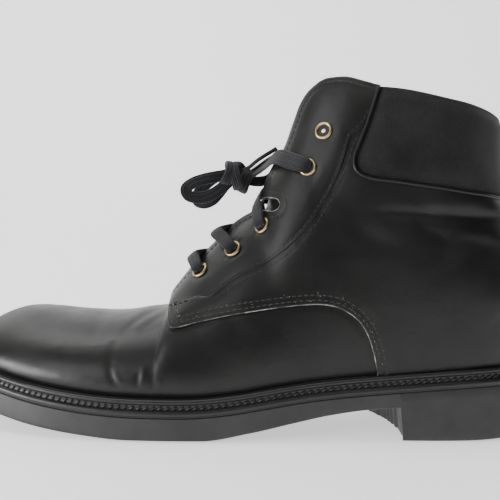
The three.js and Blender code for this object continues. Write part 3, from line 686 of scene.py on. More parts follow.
def mesh_object(name, points, faces, material, replaced=(), smooth=40, weld=0.0):
    """A piece of the boot from points in the boot's own frame."""
    mesh = bpy.data.meshes.new(name)
    mesh.from_pydata([tuple(p) for p in place(points)], [], [tuple(f) for f in faces])
    mesh.update()
    if weld:
        bm = bmesh.new()
        bm.from_mesh(mesh)
        bmesh.ops.remove_doubles(bm, verts=bm.verts, dist=weld)
        bmesh.ops.dissolve_degenerate(bm, edges=bm.edges, dist=1e-7)
        bm.to_mesh(mesh)
        bm.free()
    mesh.shade_smooth()
    if smooth:
        mesh.set_sharp_from_angle(angle=math.radians(smooth))
    mesh.materials.append(material)
    obj = bpy.data.objects.new(name, mesh)
    bpy.context.scene.collection.objects.link(obj)
    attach(obj, "root")
    if replaced:
        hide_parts(*replaced)
    return obj


def layer(name, patches, outer, inner, material, replaced=(), drop=None, inside=False, top=True):
    """A layer of leather: its outer sheets, the walls of their cut edges down to a drop below, and
    the turned edge over the top line behind the throat. outer and inner give offsets from the skin."""
    points, faces = [], []
    start = 0
    for patch in patches:
        patch.compact()
        s, u, side = patch.s, patch.u, patch.side
        base = skin(s, u, side)
        out = skin_out(s, u, side)
        high = outer(patch, base)
        low = inner(patch, base)
        sheet = base + out * high[:, None]
        floor = base + out * (low if drop is None else drop(patch, base))[:, None]
        flip = side > 0
        tris = patch.tris if not flip else patch.tris[:, ::-1]
        count = len(s)
        points.append(sheet)
        faces += (tris + start).tolist()
        if inside:
            points.append(base + out * low[:, None])
            faces += (tris[:, ::-1] + start + count).tolist()
        extra = []
        base_index = start + count * (2 if inside else 1)
        lid = (patch.u >= 1 - 1e-9) & (patch.s >= THROAT - 1e-9)
        ends = border(tris)
        rows = {}

        def wall_row(k, rounded):
            if (k, rounded) in rows:
                return rows[(k, rounded)]
            if rounded:
                up = rise_dir(np.array([s[k]]), side)[0]
                mid, half = 0.5 * (high[k] + low[k]), 0.5 * (high[k] - low[k])
                ring = [base[k] + out[k] * (mid + half * math.cos(a)) + up * half * 0.8 * math.sin(a)
                        for a in np.linspace(0, math.pi, 7)[1:]]
            else:
                ring = [sheet[k] + (floor[k] - sheet[k]) * t for t in (0.25, 0.6, 1.0)]
            first = base_index + len(extra)
            extra.extend(ring)
            rows[(k, rounded)] = [k + start, *range(first, first + len(ring))]
            return rows[(k, rounded)]

        for a, b in ends:
            rounded = bool(top and lid[a] and lid[b])
            if not rounded and not (patch.cut[a] and patch.cut[b]):
                continue
            ra, rb = wall_row(a, rounded), wall_row(b, rounded)
            for k in range(len(ra) - 1):
                faces.append([rb[k], ra[k], ra[k + 1], rb[k + 1]])
        if extra:
            points.append(np.array(extra))
        start = sum(len(p) for p in points)
    return mesh_object(name, np.concatenate(points), faces, material, replaced, weld=2e-6)


def spread(lo, hi, step):
    return np.linspace(lo, hi, max(2, int(round((hi - lo) / step)) + 1))


EDGE_ROLL = 0.7 * MM
STITCH = {"length": 2.1 * MM, "pitch": 2.9 * MM, "radius": 0.27 * MM}


# Materials

class Tree:
    """Short ways to add nodes to the tree of a material or of the world."""

    def __init__(self, owner, coords="Object"):
        owner.use_nodes = True
        self.owner, self.nodes, self.links = owner, owner.node_tree.nodes, owner.node_tree.links
        self.coords = self.add("TexCoord", coords, {})

    def feed(self, node, inputs):
        for key, value in inputs.items():
            if isinstance(value, bpy.types.NodeSocket):
                self.links.new(value, node.inputs[key])
            else:
                node.inputs[key].default_value = value

    def add(self, kind, outlet, inputs, **options):
        """Adds a node, with its inputs set or linked, and gives one of its outputs."""
        made = self.nodes.new("ShaderNode" + kind)
        for key, value in options.items():
            setattr(made, key, value)
        self.feed(made, inputs)
        return made.outputs[outlet]

    def noise(self, scale, detail, roughness, distortion=0.0):
        return self.add("TexNoise", "Fac", {"Scale": scale, "Detail": detail, "Roughness": roughness,
                                            "Distortion": distortion, "Vector": self.coords})

    def ramp(self, value, stops):
        made = self.nodes.new("ShaderNodeValToRGB")
        elements = made.color_ramp.elements
        while len(elements) < len(stops):
            elements.new(0.5)
        for element, (place_at, color) in zip(elements, stops):
            element.position = place_at
            element.color = (*color, 1)
        self.links.new(value, made.inputs["Fac"])
        return made.outputs["Color"]

    def bump(self, height, strength, distance, before=None):
        inputs = {"Strength": strength, "Distance": distance, "Height": height}
        if before:
            inputs["Normal"] = before
        return self.add("Bump", "Normal", inputs)

    def math(self, kind, a, b):
        return self.add("Math", "Value", {0: a, 1: b}, operation=kind)

    def finish(self, node, inputs):
        self.feed(self.nodes[node], inputs)
        return self.owner


def new_material(name):
    return Tree(bpy.data.materials.new(name))


def leather(name, dark, light, rough):
    """Smooth black leather: pores and fine wrinkles, a little uneven in colour and gloss."""
    tree = new_material(name)
    color = tree.ramp(tree.noise(28, 5, 0.6), [(0.3, dark), (0.75, light)])
    specks = tree.ramp(tree.noise(900, 2, 0.5), [(0.72, (0, 0, 0)), (0.78, (1, 1, 1))])
    few = tree.ramp(tree.noise(60, 3, 0.6), [(0.55, (0, 0, 0)), (0.7, (0.25, 0.25, 0.25))])
    dusty = tree.add("Mix", 2, {0: tree.math("MULTIPLY", specks, few), 6: color, 7: (0.16, 0.155, 0.14, 1)},
                     data_type="RGBA")
    shine = tree.ramp(tree.noise(45, 6, 0.65), [(0.3, (rough - 0.05,) * 3), (0.75, (rough + 0.09,) * 3)])
    cells = tree.add("TexVoronoi", "Distance", {"Scale": 1100, "Vector": tree.coords},
                     feature="DISTANCE_TO_EDGE")
    pores = tree.bump(cells, 0.10, 0.0003)
    wrinkles = tree.bump(tree.noise(260, 6, 0.62, 0.6), 0.13, 0.0005, pores)
    swells = tree.bump(tree.noise(34, 3, 0.5), 0.16, 0.004, wrinkles)
    return tree.finish("Principled BSDF", {
        "Base Color": dusty, "Roughness": shine, "Normal": swells, "Specular IOR Level": 0.3,
        "Coat Weight": 0.06, "Coat Roughness": 0.25,
    })


def suede(name, dark, light):
    tree = new_material(name)
    nap = tree.noise(1400, 4, 0.7)
    color = tree.ramp(tree.math("MULTIPLY", nap, tree.noise(55, 4, 0.6)), [(0.15, dark), (0.5, light)])
    return tree.finish("Principled BSDF", {
        "Base Color": color, "Roughness": 0.95, "Sheen Weight": 0.35, "Sheen Roughness": 0.5,
        "Sheen Tint": (0.5, 0.5, 0.52, 1), "Specular IOR Level": 0.15, "Normal": tree.bump(nap, 0.5, 0.0006),
    })


def rubber(name, dark, light, rough):
    tree = new_material(name)
    color = tree.ramp(tree.noise(40, 6, 0.65), [(0.35, dark), (0.7, light)])
    shine = tree.ramp(tree.noise(150, 5, 0.6), [(0.3, (rough - 0.06,) * 3), (0.7, (rough + 0.1,) * 3)])
    fine = tree.bump(tree.noise(700, 4, 0.6), 0.12, 0.0004)
    return tree.finish("Principled BSDF", {"Base Color": color, "Roughness": shine, "Normal": fine,
                                           "Specular IOR Level": 0.45})


def woven(name, dark, light):
    """Cotton lace: close slanting rows of yarn."""
    tree = new_material(name)
    uv = tree.add("TexCoord", "UV", {})
    rows = tree.add("TexWave", "Fac", {"Scale": 6.0, "Distortion": 1.2, "Detail": 2, "Vector": uv},
                    bands_direction="DIAGONAL")
    fuzz = tree.noise(2200, 3, 0.6)
    color = tree.ramp(tree.math("MULTIPLY", rows, fuzz), [(0.1, dark), (0.5, light)])
    raised = tree.bump(fuzz, 0.4, 0.0003, tree.bump(rows, 0.5, 0.0004))
    return tree.finish("Principled BSDF", {"Base Color": color, "Roughness": 0.85, "Sheen Weight": 0.25,
                                           "Specular IOR Level": 0.2, "Normal": raised})


def metal(name, color, dull, rough):
    tree = new_material(name)
    tarnish = tree.ramp(tree.noise(500, 4, 0.6), [(0.35, dull), (0.65, color)])
    return tree.finish("Principled BSDF", {"Base Color": tarnish, "Metallic": 1.0, "Roughness": rough})


def plain(name, color, rough, sheen=0.0):
    """Thread, plastic and other small matter, with a fine grain."""
    tree = new_material(name)
    grain = tree.noise(1500, 3, 0.6)
    light = tuple(min(1, 1.5 * c + 0.002) for c in color)
    return tree.finish("Principled BSDF", {
        "Base Color": tree.ramp(grain, [(0.3, color), (0.8, light)]), "Roughness": rough,
        "Sheen Weight": sheen, "Normal": tree.bump(grain, 0.2, 0.0002),
    })


def edge_wear_and_highlight_material():
    """The pale cut edge: along the quarter it is rubbed pale in places and still black in others; along the
    flexing notch the pale line is a painted highlight on the lit cut edge.
    """
    tree = new_material("leather_edge_wear_and_painted_highlight")
    stops = [(0.38, (0.02, 0.02, 0.018)), (0.52, (0.16, 0.155, 0.14)), (0.68, (0.42, 0.41, 0.38))]
    return tree.finish("Principled BSDF", {"Base Color": tree.ramp(tree.noise(130, 5, 0.7), stops),
                                           "Roughness": 0.7})


LEATHER_SKIN = leather("black_leather", (0.0055, 0.0060, 0.0055), (0.0105, 0.0110, 0.0098), 0.35)
LINING_SKIN = leather("lining_leather", (0.008, 0.008, 0.008), (0.014, 0.014, 0.013), 0.6)
SUEDE_SKIN = suede("black_suede", (0.006, 0.006, 0.006), (0.025, 0.0245, 0.0235))
RUBBER_SKIN = rubber("black_rubber", (0.017, 0.018, 0.017), (0.031, 0.032, 0.030), 0.5)
WELT_SKIN = rubber("welt_rubber", (0.007, 0.0075, 0.007), (0.013, 0.0135, 0.013), 0.38)
LACE_SKIN = woven("black_lace", (0.002, 0.002, 0.003), (0.014, 0.014, 0.018))
BRASS_SKIN = metal("antique_brass", (0.55, 0.42, 0.22), (0.33, 0.25, 0.13), 0.28)
NICKEL_SKIN = metal("nickel", (0.95, 0.93, 0.88), (0.8, 0.77, 0.7), 0.42)
THREAD_SKIN = plain("black_thread", (0.006, 0.006, 0.006), 0.75, 0.1)
DUSTY_THREAD_SKIN = plain("dusty_thread", (0.022, 0.021, 0.019), 0.85, 0.1)
DUST_SKIN = plain("pale_dust", (0.34, 0.33, 0.30), 0.9)
AGLET_SKIN = plain("black_plastic", (0.006, 0.006, 0.007), 0.35)
SOCK_SKIN = plain("sock_lining", (0.014, 0.013, 0.012), 0.9, 0.1)
FIBRE_SKIN = plain("pale_fibre", (0.22, 0.2, 0.17), 0.9, 0.2)
# Pale edge colour: real wear on the quarter's edge, a painted highlight on the notch's edge
WEAR_AND_HIGHLIGHT_EDGE_SKIN = edge_wear_and_highlight_material()


# Camera

CAMERA_PLACE = (37.25 * MM, -323.47 * MM + SHIFT, 78.07 * MM)
CAMERA_AZIMUTH = math.radians(5)
CAMERA_ELEVATION = math.radians(-2)
FOCAL_SHARE = 604 / 500


def make_camera():
    data = bpy.data.cameras.new("camera")
    data.sensor_width = 36
    data.lens = FOCAL_SHARE * data.sensor_width
    data.clip_start = 0.01
    camera = bpy.data.objects.new("camera", data)
    bpy.context.scene.collection.objects.link(camera)
    camera.location = CAMERA_PLACE
    back = Vector((
        math.sin(CAMERA_AZIMUTH) * math.cos(CAMERA_ELEVATION),
        -math.cos(CAMERA_AZIMUTH) * math.cos(CAMERA_ELEVATION),
        math.sin(CAMERA_ELEVATION),
    ))
    camera.rotation_mode = "QUATERNION"
    camera.rotation_quaternion = (-back).to_track_quat("-Z", "Y")
    bpy.context.scene.camera = camera


# Laces

def lace_section(width, thick, sides=44, ribs=5):
    """A flat lace's section: rounded edges and ribs along it."""
    ring = []
    for k in range(sides):
        a = 2 * math.pi * k / sides
        c, s = math.cos(a), math.sin(a)
        x = 0.5 * width * math.copysign(abs(c) ** 0.75, c)
        y = 0.5 * thick * math.copysign(abs(s) ** 0.6, s)
        rib = 1 + 0.16 * math.cos(2 * math.pi * ribs * x / width) * abs(s)
        ring.append((x, y * rib))
    return ring


def set_uv(obj, uv_of):
    layer_made = obj.data.uv_layers.new(name="UVMap")
    for poly in obj.data.polygons:
        for corner, vertex in zip(poly.loop_indices, poly.vertices):
            layer_made.data[corner].uv = uv_of(vertex)


def lace(name, points, facings, width=LACE_WIDTH, thick=LACE_THICKNESS, widths=None, replaced=(), per=8):
    """A lace's stretch: points of its middle and the directions its flat side faces."""
    path = catmull(points, per)
    face = unit(catmull(facings, per))
    tangent = unit(np.gradient(path, axis=0))
    across = unit(np.cross(tangent, face))
    lift = np.cross(across, tangent)
    spans = np.interp(np.linspace(0, len(points) - 1, len(path)), np.arange(len(points)),
                      widths or [1] * len(points))
    verts = []
    ring = lace_section(width, thick)
    n = len(ring)
    for p, a, l, w in zip(path, across, lift, spans):
        fat = min(1.5, 1 / w ** 0.6)
        verts += [p + a * x * w + l * y * fat for x, y in ring]
    faces = quads(len(path), n) + caps(len(path), n)
    obj = mesh_object(name, verts, faces, LACE_SKIN, replaced, smooth=60)
    run = np.concatenate([[0], np.cumsum(np.linalg.norm(np.diff(path, axis=0), axis=1))]) / width
    set_uv(obj, lambda vertex: (ring[vertex % n][0] / width + 0.5, run[vertex // n]))
    return obj, path


def find_on_skin(x, z, side):
    """The station and height where the side view shows a point."""
    s, u, step = 9.0, 0.8, 0.01
    for _ in range(40):
        here = skin(s, u, side)
        along = (skin(s + step, u, side) - here) / step
        rise = (skin(s, u - step, side) - here) / -step
        det = along[0] * rise[2] - along[2] * rise[0]
        dx, dz = x - here[0], z - here[2]
        s = min(STATIONS - 0.1, max(1.1, s + max(-1, min(1, (dx * rise[2] - dz * rise[0]) / det))))
        u = min(1, max(0.1, u + (dz * along[0] - dx * along[2]) / det))
    return s, u


def eyelet_seats():
    seats = []
    for side in (-1, 1):
        for number, (x, z) in enumerate(EYELETS):
            s, u = find_on_skin(x * HALF_LENGTH, z * LAST_HEIGHT, side)
            out = skin_out(s, u, side)
            centre = skin(s, u, side) + out * (QUARTER_STEP + FACING_STEP)
            seats.append({"number": number, "side": side, "s": s, "u": u, "out": out, "centre": centre})
    return seats


SEATS = eyelet_seats()
KNOT_CENTRE = np.array([2.2, -3, 129]) * MM

# The bow's routes, in millimetres
LOOP_FRONT = [
    (-3, -4.6, 129), (-5.4, -4.6, 129), (-10, -6.6, 128), (-15, -8, 126.8), (-20.4, -9, 124.8),
    (-24.2, -9.2, 121.6), (-23, -8.8, 118.2), (-18.5, -8.2, 117), (-12.5, -7.4, 118), (-8, -6.4, 120.6),
    (-4.6, -5.2, 123.4), (-1, -5, 126.5),
]
LOOP_BACK = [
    (-2.4, 0.2, 130.4), (-5.2, 0.2, 130.4), (-11, 2.4, 128.6), (-16, 3.8, 125.4), (-20, 4.6, 121),
    (-20.4, 4.4, 116.8), (-16.6, 4, 115.2), (-12, 3.2, 116.8), (-8.2, 1.8, 120.6), (-4.8, 0.2, 124.4),
    (-2, 0, 127),
]
END_FRONT = [
    (-3, -2.5, 127), (2, -3.5, 129.5), (8.3, -4, 133), (12, -4.4, 136), (15.4, -4.4, 138.4),
    (23.6, -4, 143.4),
]
END_BACK = [
    (-3, -1.5, 127.5), (3, -0.6, 129.4), (8.8, 0.4, 131.6), (13, 2, 134.6), (17, 2.6, 137.6),
    (24, 2.8, 142),
]
# The knot's three wraps: shift along, tilt about Z, tilt about Y, radii across and up, in millimetres
KNOT_WRAPS = [
    (-4.2, 0.15, 0.25, 5.0, 5.6),
    (0.4, -0.25, -0.1, 5.6, 6.5),
    (5.0, 0.35, 0.5, 4.8, 5.4),
]
KNOT_LACE = (6.0 * MM, 2.5 * MM)
LOOP_THICKNESS = 2.3 * MM


def round_cord(name, path, radius, material, replaced, sides=16):
    tangent = unit(np.gradient(path, axis=0))
    verts = []
    for p, along, r in zip(path, tangent, radius):
        a = unit(np.cross(along, np.array([0, 1.0, 0])))
        b = np.cross(a, along)
        verts += circle(p, a * r, b * r, sides)
    faces = quads(len(path), sides) + caps(len(path), sides)
    return mesh_object(name, verts, faces, material, replaced, smooth=50)


def make_knot():
    verts, faces = [], []
    ring = lace_section(*KNOT_LACE)
    n, steps = len(ring), 40
    for shift, turn_z, turn_y, ry, rz in KNOT_WRAPS:
        spin = Matrix.Rotation(turn_z, 3, "Z") @ Matrix.Rotation(turn_y, 3, "Y")
        faces += quads(steps, n, first=len(verts), ring=True, flip=True)
        side_way = np.array(spin @ Vector((1, 0, 0)))
        for i in range(steps):
            a = 2 * math.pi * i / steps
            wobble = 0.8 * math.sin(2 * a + shift)
            mid = np.array(spin @ Vector((shift + wobble, ry * math.cos(a), rz * math.sin(a)))) * MM
            radial = np.array(spin @ Vector((0, math.cos(a), math.sin(a))))
            verts += [KNOT_CENTRE + mid + side_way * x + radial * y for x, y in ring]
    knot = mesh_object("bow_knot", verts, faces, LACE_SKIN, ["lace_knot"], smooth=60)
    set_uv(knot, lambda vertex: (vertex % n / n * 2, vertex // n * 0.13))


def make_bow():
    make_knot()
    for where, route, lean in (("front", LOOP_FRONT, -0.15), ("back", LOOP_BACK, 0.3)):
        points = [np.array(p) * MM for p in route]
        # the flat side faces the camera, and leans to and fro along the loop
        facings = [np.array([0.1, -1, 0.15 + lean * math.sin(1.2 * k)]) for k in range(len(points))]
        obj, path = lace(f"bow_loop_{where}", points, facings, LOOP_WIDTH, LOOP_THICKNESS,
                         replaced=[f"lace_loop_{where}"], per=7)
    for where, route in (("front", END_FRONT), ("back", END_BACK)):
        path = catmull([np.array(p) * MM for p in route], 8)
        share = np.linspace(0, 1, len(path))
        radius = np.where(share < 0.42, 0.62 * TIP_DIAMETER, 0.5 * TIP_DIAMETER)
        obj = round_cord(f"bow_end_{where}", path, radius, AGLET_SKIN, [f"lace_end_{where}"])


# How far along from its eyelet each crossing goes over the edge, in stations
EDGE_SHIFT = [-0.02, -0.14, 0.12]
# How far each crossing's lobe stands off the facing's edge, in millimetres
LOBE_LIFT = [4.2, 4.8, 2.0]


def seat(side, number):
    return next(k for k in SEATS if k["side"] == side and k["number"] == number)


def make_crossings():
    for number in range(3):
        for side in (-1, 1):
            here, there = seat(side, number), seat(-side, number + 1)
            edge = here["s"] + EDGE_SHIFT[number]
            out = here["out"]
            over = skin_out(edge, 0.96, side)
            level = unit(np.array([over[0], 0, over[2]]))
            on = min(there["s"], edge + 0.7)
            stack = QUARTER_STEP + FACING_STEP
            centre = here["centre"]

            def between(share, reach, up):
                s = edge + (on - edge) * share
                return skin(s, 1.0, side) * np.array([1, reach, 1]) + level * up

            brow = skin(edge, 0.96, side) + over * (stack + LOBE_LIFT[number] * MM)
            mid = 0.5 * (centre + out * 2.4 * MM + brow)
            tuck = there["centre"] - there["out"] * 6 * MM
            points = [
                centre - out * 5 * MM,
                centre - out * 1.5 * MM,
                centre + out * (EYELET_CROWN + 0.5 * LACE_THICKNESS),
                mid + out * 0.5 * MM,
                brow,
                between(0.25, 0.55, 1.0 * MM),
                between(0.55, -0.1, -0.4 * MM),
                between(0.85, -0.75, -1.8 * MM),
                tuck,
            ]
            facings = [out, out, out, out, over, level, level, level, there["out"]]
            widths = [0.66, 0.74, 0.98, 1.14, 1.18, 1.12, 1, 0.9, 0.7]
            name = f"lace_cross_{number + 1}_{SIDE_NAMES[side]}"
            replaced = [f"lace_crossing_{number + 1}"] if side < 0 else []
            lace(name, points, facings, widths=widths, replaced=replaced, per=9)


# Where each side's last run goes over the edge, and its points from there to the knot: X, share of the
# way out to the side, and Z
RUN_STATIONS = {-1: 9.5, 1: 9.36}
RUNS = {
    -1: [(17.5, 0.45, 133), (10.7, 0.03, 129.6), (5.0, 0.0, 129)],
    1: [(15.5, 0.5, 127.5), (9.5, 0.15, 126.6), (4.0, 0.0, 127.5)],
}


def make_last_runs():
    for side in (-1, 1):
        here = seat(side, 3)
        out, centre = here["out"], here["centre"]
        station = RUN_STATIONS[side]
        over = skin_out(station, 0.97, side)
        brow = skin(station, 0.95, side) + over * (QUARTER_STEP + FACING_STEP + 3.0 * MM)
        points = [
            centre - out * 5 * MM,
            centre - out * 1.5 * MM,
            centre + out * (EYELET_CROWN + 0.5 * LACE_THICKNESS),
            0.5 * (centre + brow) + out * 2.0 * MM,
            brow,
            *[np.array([x, KNOT_CENTRE[1] / MM * (1 - y) + side * 15 * y, z]) * MM for x, y, z in RUNS[side]],
        ]
        level = unit(np.array([over[0], 0.3 * over[1], over[2]]))
        facings = [out, out, out, out, over, level, level, level]
        widths = [0.7, 0.85, 1.25, 1.45, 1.4, 1.1, 0.9, 0.85]
        lace(f"lace_run_{SIDE_NAMES[side]}", points, facings, widths=widths,
             replaced=["lace_top_run"] if side < 0 else [], per=10)


# Eyelets

# Radius and height in millimetres, from the barrel over the rim to the leather
EYELET_PROFILE = [
    (2.9, -4.0), (2.9, -1.2), (2.95, 0.1), (3.1, 0.5), (3.4, 0.78), (3.8, 0.86), (4.15, 0.7), (4.4, 0.4),
    (4.5, 0.1), (4.45, -0.12),
]
# The nickel dome in the eyelets that hold no lace, from its top out
DOME_TOP = 0.1
DOME_PROFILE = [(0.8, 0.02), (1.5, -0.15), (2.1, -0.5), (2.5, -1.0), (2.85, -1.5), (2.85, -2.6)]


def make_eyelets():
    turns = 56
    for at_hand in SEATS:
        out, centre = at_hand["out"], at_hand["centre"]
        a = unit(np.cross(out, np.array([1.0, 0, 0.3])))
        b = np.cross(out, a)

        def turned(profile):
            """Circles one after the other, for the rows of a turned shape."""
            verts = []
            for r, h in profile:
                verts += circle(centre + out * h * MM, a * r * MM, b * r * MM, turns)
            return verts

        where = SIDE_NAMES[at_hand["side"]]
        number = at_hand["number"] + 1
        mesh_object(f"brass_eyelet_{where}_{number}", turned(EYELET_PROFILE),
                    quads(len(EYELET_PROFILE), turns, flip=True), BRASS_SKIN,
                    [f"eyelet_{where}_{number}"], smooth=60)
        if number == len(EYELETS):
            fan = [[0, 1 + i, 1 + (i + 1) % turns] for i in range(turns)]
            mesh_object(f"eyelet_washer_{where}", [centre + out * DOME_TOP * MM, *turned(DOME_PROFILE)],
                        fan + quads(len(DOME_PROFILE), turns, first=1, flip=True), NICKEL_SKIN,
                        smooth=60)


# Stitching

def stitches(name, runs, material, radius=STITCH["radius"], pitch=STITCH["pitch"],
             length=STITCH["length"]):
    """Short threads along runs of points with the directions out of the surface."""
    verts, faces = [], []
    # share of the length and of the radius
    shape = [(t, math.sin(math.pi * (0.08 + 0.84 * t)) ** 0.5) for t in np.linspace(0, 1, 6)]
    sides = 6
    for points, outs in runs:
        points, outs = np.array(points), np.array(outs)
        gaps = np.linalg.norm(np.diff(points, axis=0), axis=1)
        at = np.concatenate([[0], np.cumsum(gaps)])
        if at[-1] < 2 * pitch:
            continue
        for k in range(int(at[-1] / pitch)):
            where = (k + 0.5) * pitch
            ends = [np.array([np.interp(where + d, at, points[:, c]) for c in range(3)])
                    for d in (-0.5 * length, 0.5 * length)]
            out = unit(np.array([np.interp(where, at, outs[:, c]) for c in range(3)]))
            along = ends[1] - ends[0]
            across = unit(np.cross(along, out))
            faces += quads(len(shape), sides, len(verts), flip=True)
            faces += caps(len(shape), sides, len(verts), flip=True)
            for share, r in shape:
                mid = ends[0] + along * share + out * radius * (0.5 * r - 0.35)
                verts += circle(mid, across * radius * r, out * radius * r, sides)
    return mesh_object(name, verts, faces, material, smooth=60)


def seam_runs(patch, field, level, outer, clear=()):
    """Runs of surface points along a level of a field, away from other fields' edges."""
    runs = []
    base = skin(patch.s, patch.u, patch.side)
    out = skin_out(patch.s, patch.u, patch.side)
    top = base + out * outer(patch, base)[:, None]
    for run in patch.isoline(field, level):
        parts = [[]]
        for k in run:
            if all(patch.field[f][k] > least if above else patch.field[f][k] < least
                   for f, least, above in clear):
                parts[-1].append(k)
            else:
                parts.append([])
        runs += [(top[part], out[part]) for part in parts if len(part) > 3]
    return runs


# The upper

FINE = 0.075
UP_FINE = 0.0145


def vamp_offset(patch, base):
    q = patch.field["quarter"]
    fold = crease_depth(base[:, 0], base[:, 2], patch.side)
    fold *= np.clip(patch.u * 6, 0, 1)
    welt_nip = -0.5 * MM * np.exp(-np.abs(patch.u) / 0.03)
    return fold + groove(q + 0.5 * MM, 0.7 * MM, 0.25 * MM) + welt_nip


def seam_shows(x):
    """The facing's back seam stands up behind this place and is skived flat in front of it."""
    return np.clip((x + 9 * MM) / (5 * MM), 0, 1)


def edge_drop(d):
    return rolled(d, 0, EDGE_ROLL)


def quarter_offset(patch, base):
    q, f = patch.field["quarter"], patch.field["facing"]
    fold = crease_depth(base[:, 0], base[:, 2], patch.side) * np.clip(patch.u * 6, 0, 1)
    fold *= np.clip(q / (3 * MM), 0, 1)
    shows = seam_shows(base[:, 0])
    sewn = sum(groove(q - row, 0.5 * MM, 0.16 * MM) for row in QUARTER_ROWS)
    behind = groove(f + 0.3 * MM, 0.5 * MM, 0.2 * MM) + groove(f + BEHIND_FACING_ROW, 0.5 * MM, 0.12 * MM)
    sunk = -0.6 * MM * np.clip((f - 0.1 * MM) / (0.4 * MM), 0, 1) * (1 - shows)
    root = 0.2 * MM + (QUARTER_STEP - 0.2 * MM) * np.clip((patch.u + 0.1) * 12, 0, 1)
    return root + edge_drop(q) + fold + sewn + shows * behind + sunk


def facing_offset(patch, base):
    f, q, e = patch.field["facing"], patch.field["quarter"], patch.field["edge"]
    shows = seam_shows(base[:, 0])
    raised = 0.55 * shows + (1 - 0.55 * shows) * np.clip((f - 0.5 * MM) / (7 * MM), 0, 1)
    top = QUARTER_STEP + FACING_STEP * raised + edge_drop(q) + 0.5 * edge_drop(f) * shows
    sewn = shows * groove(f - FACING_ROW, 0.5 * MM, 0.15 * MM) + groove(e - TOP_ROW, 0.55 * MM, 0.18 * MM)
    pressed = np.zeros_like(f)
    for k in SEATS:
        if k["side"] == patch.side:
            d = np.linalg.norm(base - (k["centre"] - k["out"] * (QUARTER_STEP + FACING_STEP)), axis=1)
            pressed += groove(d - EYELET_RADIUS, 0.9 * MM, 0.35 * MM)
    fold = crease_depth(base[:, 0], base[:, 2], patch.side)
    return top + sewn + pressed + 0.5 * fold


def under_wall(patch, base):
    return np.full(len(patch.s), -LEATHER)


def shallow(patch, base):
    return np.full(len(patch.s), -0.3 * MM)


def make_vamp():
    patches = []
    for side in (-1, 1):
        along = np.concatenate([spread(0, 3, 0.07), spread(3, 6.7, 0.032)[1:], spread(6.7, 10.8, 0.07)[1:]])
        patch = Patch(side, along, spread(-0.6, 1, 0.0105), ["quarter"])
        patch.slice("quarter", -0.5 * MM)
        patch.keep("quarter", 7 * MM, above=False)
        patches.append(patch)
    layer("vamp", patches, vamp_offset, under_wall, LEATHER_SKIN, ["upper"], drop=shallow,
          top=False)


# The facing's back seam is sewn behind this X and below the collar
BACK_SEAM_CLEAR = [("x", -5 * MM, True), ("collar", -1 * MM, False)]


def make_quarters():
    sewing, dusty, pale_edge_runs = [], [], []
    for side in (-1, 1):
        patch = Patch(side, spread(6.2, STATIONS, FINE), spread(-0.35, 1, UP_FINE),
                      ["quarter", "facing", "collar", "x"])
        for level in (0.12 * MM, 0.4 * MM, 0.75 * MM, *QUARTER_ROWS):
            patch.slice("quarter", level)
        for level in (-0.5 * MM, -BEHIND_FACING_ROW):
            patch.slice("facing", level)
        patch.keep("quarter", 0)
        patch.keep("facing", 5 * MM, above=False)
        patch.keep("collar", 0.6 * MM, above=False)
        patch.compact()
        seam_clear = [("facing", -1 * MM, False), ("collar", -1 * MM, False)]
        for row in QUARTER_ROWS:
            dusty += seam_runs(patch, "quarter", row, quarter_offset, seam_clear)
        sewing += seam_runs(patch, "facing", -BEHIND_FACING_ROW, quarter_offset, BACK_SEAM_CLEAR)
        pale_edge_runs += seam_runs(patch, "quarter", 0.12 * MM, quarter_offset, seam_clear[:1])
        name = f"quarter_{SIDE_NAMES[side]}"
        layer(name, [patch], quarter_offset, under_wall, LEATHER_SKIN,
              drop=shallow, top=False)
    return sewing, dusty, pale_edge_runs


def make_facings():
    sewing, pale_edge_runs = [], []
    for side in (-1, 1):
        patch = Patch(side, spread(THROAT, 11.6, FINE), spread(0.05, 1, UP_FINE * 0.9),
                      ["quarter", "facing", "collar", "notch", "edge", "x"])
        for level in (0.12 * MM, 0.4 * MM, 0.75 * MM, FACING_ROW):
            patch.slice("facing", level)
        patch.slice("edge", TOP_ROW)
        patch.keep("facing", 0)
        patch.keep("quarter", 0)
        patch.keep("collar", 0.1 * MM, above=False)
        patch.keep("notch", 0)
        patch.compact()
        # the pale line round the notch is a painted highlight on the lit wall of its cut edge
        pale_edge_runs += seam_runs(patch, "notch", 0, facing_offset)
        sewing += seam_runs(patch, "facing", FACING_ROW, facing_offset, BACK_SEAM_CLEAR)
        sewing += seam_runs(patch, "edge", TOP_ROW, facing_offset, [("quarter", 1.5 * MM, True)])
        layer(f"facing_{SIDE_NAMES[side]}", [patch], facing_offset, under_wall, LEATHER_SKIN)
    return sewing, pale_edge_runs


# The tack row where the facings are sewn down on the vamp, in side view in millimetres
THROAT_TACKS = [(-28.5, 60.2), (-24, 61.2), (-19, 62.9), (-14.5, 64.8)]


def throat_tacks():
    runs = []
    for side in (-1, 1):
        points, outs = [], []
        for k in range(len(THROAT_TACKS) - 1):
            (x0, z0), (x1, z1) = THROAT_TACKS[k:k + 2]
            for w in (0, 0.5):
                s, u = find_on_skin((x0 + (x1 - x0) * w) * MM, (z0 + (z1 - z0) * w) * MM, side)
                out = skin_out(s, u, side)
                points.append(skin(s, u, side) + out * (QUARTER_STEP + 0.35 * FACING_STEP))
                outs.append(out)
        runs.append((np.array(points), np.array(outs)))
    return runs


def make_wear_and_highlight_cords(runs):
    """The thin pale line of the cut edges: rubbed pale wear along the quarter, a painted highlight along the
    notch's cut edge.
    """
    for number, (points, outs) in enumerate(runs):
        if len(points) < 12:
            continue
        k = np.arange(len(points))
        radius = (0.25 + 0.06 * np.sin(0.7 * k) + 0.05 * np.sin(0.23 * k + number)) * MM
        path = np.array(points) - np.array(outs) * 0.15 * MM
        obj = round_cord(f"edge_cord_wear_and_painted_highlight_{number + 1}", path, radius, WEAR_AND_HIGHLIGHT_EDGE_SKIN, [], 8)


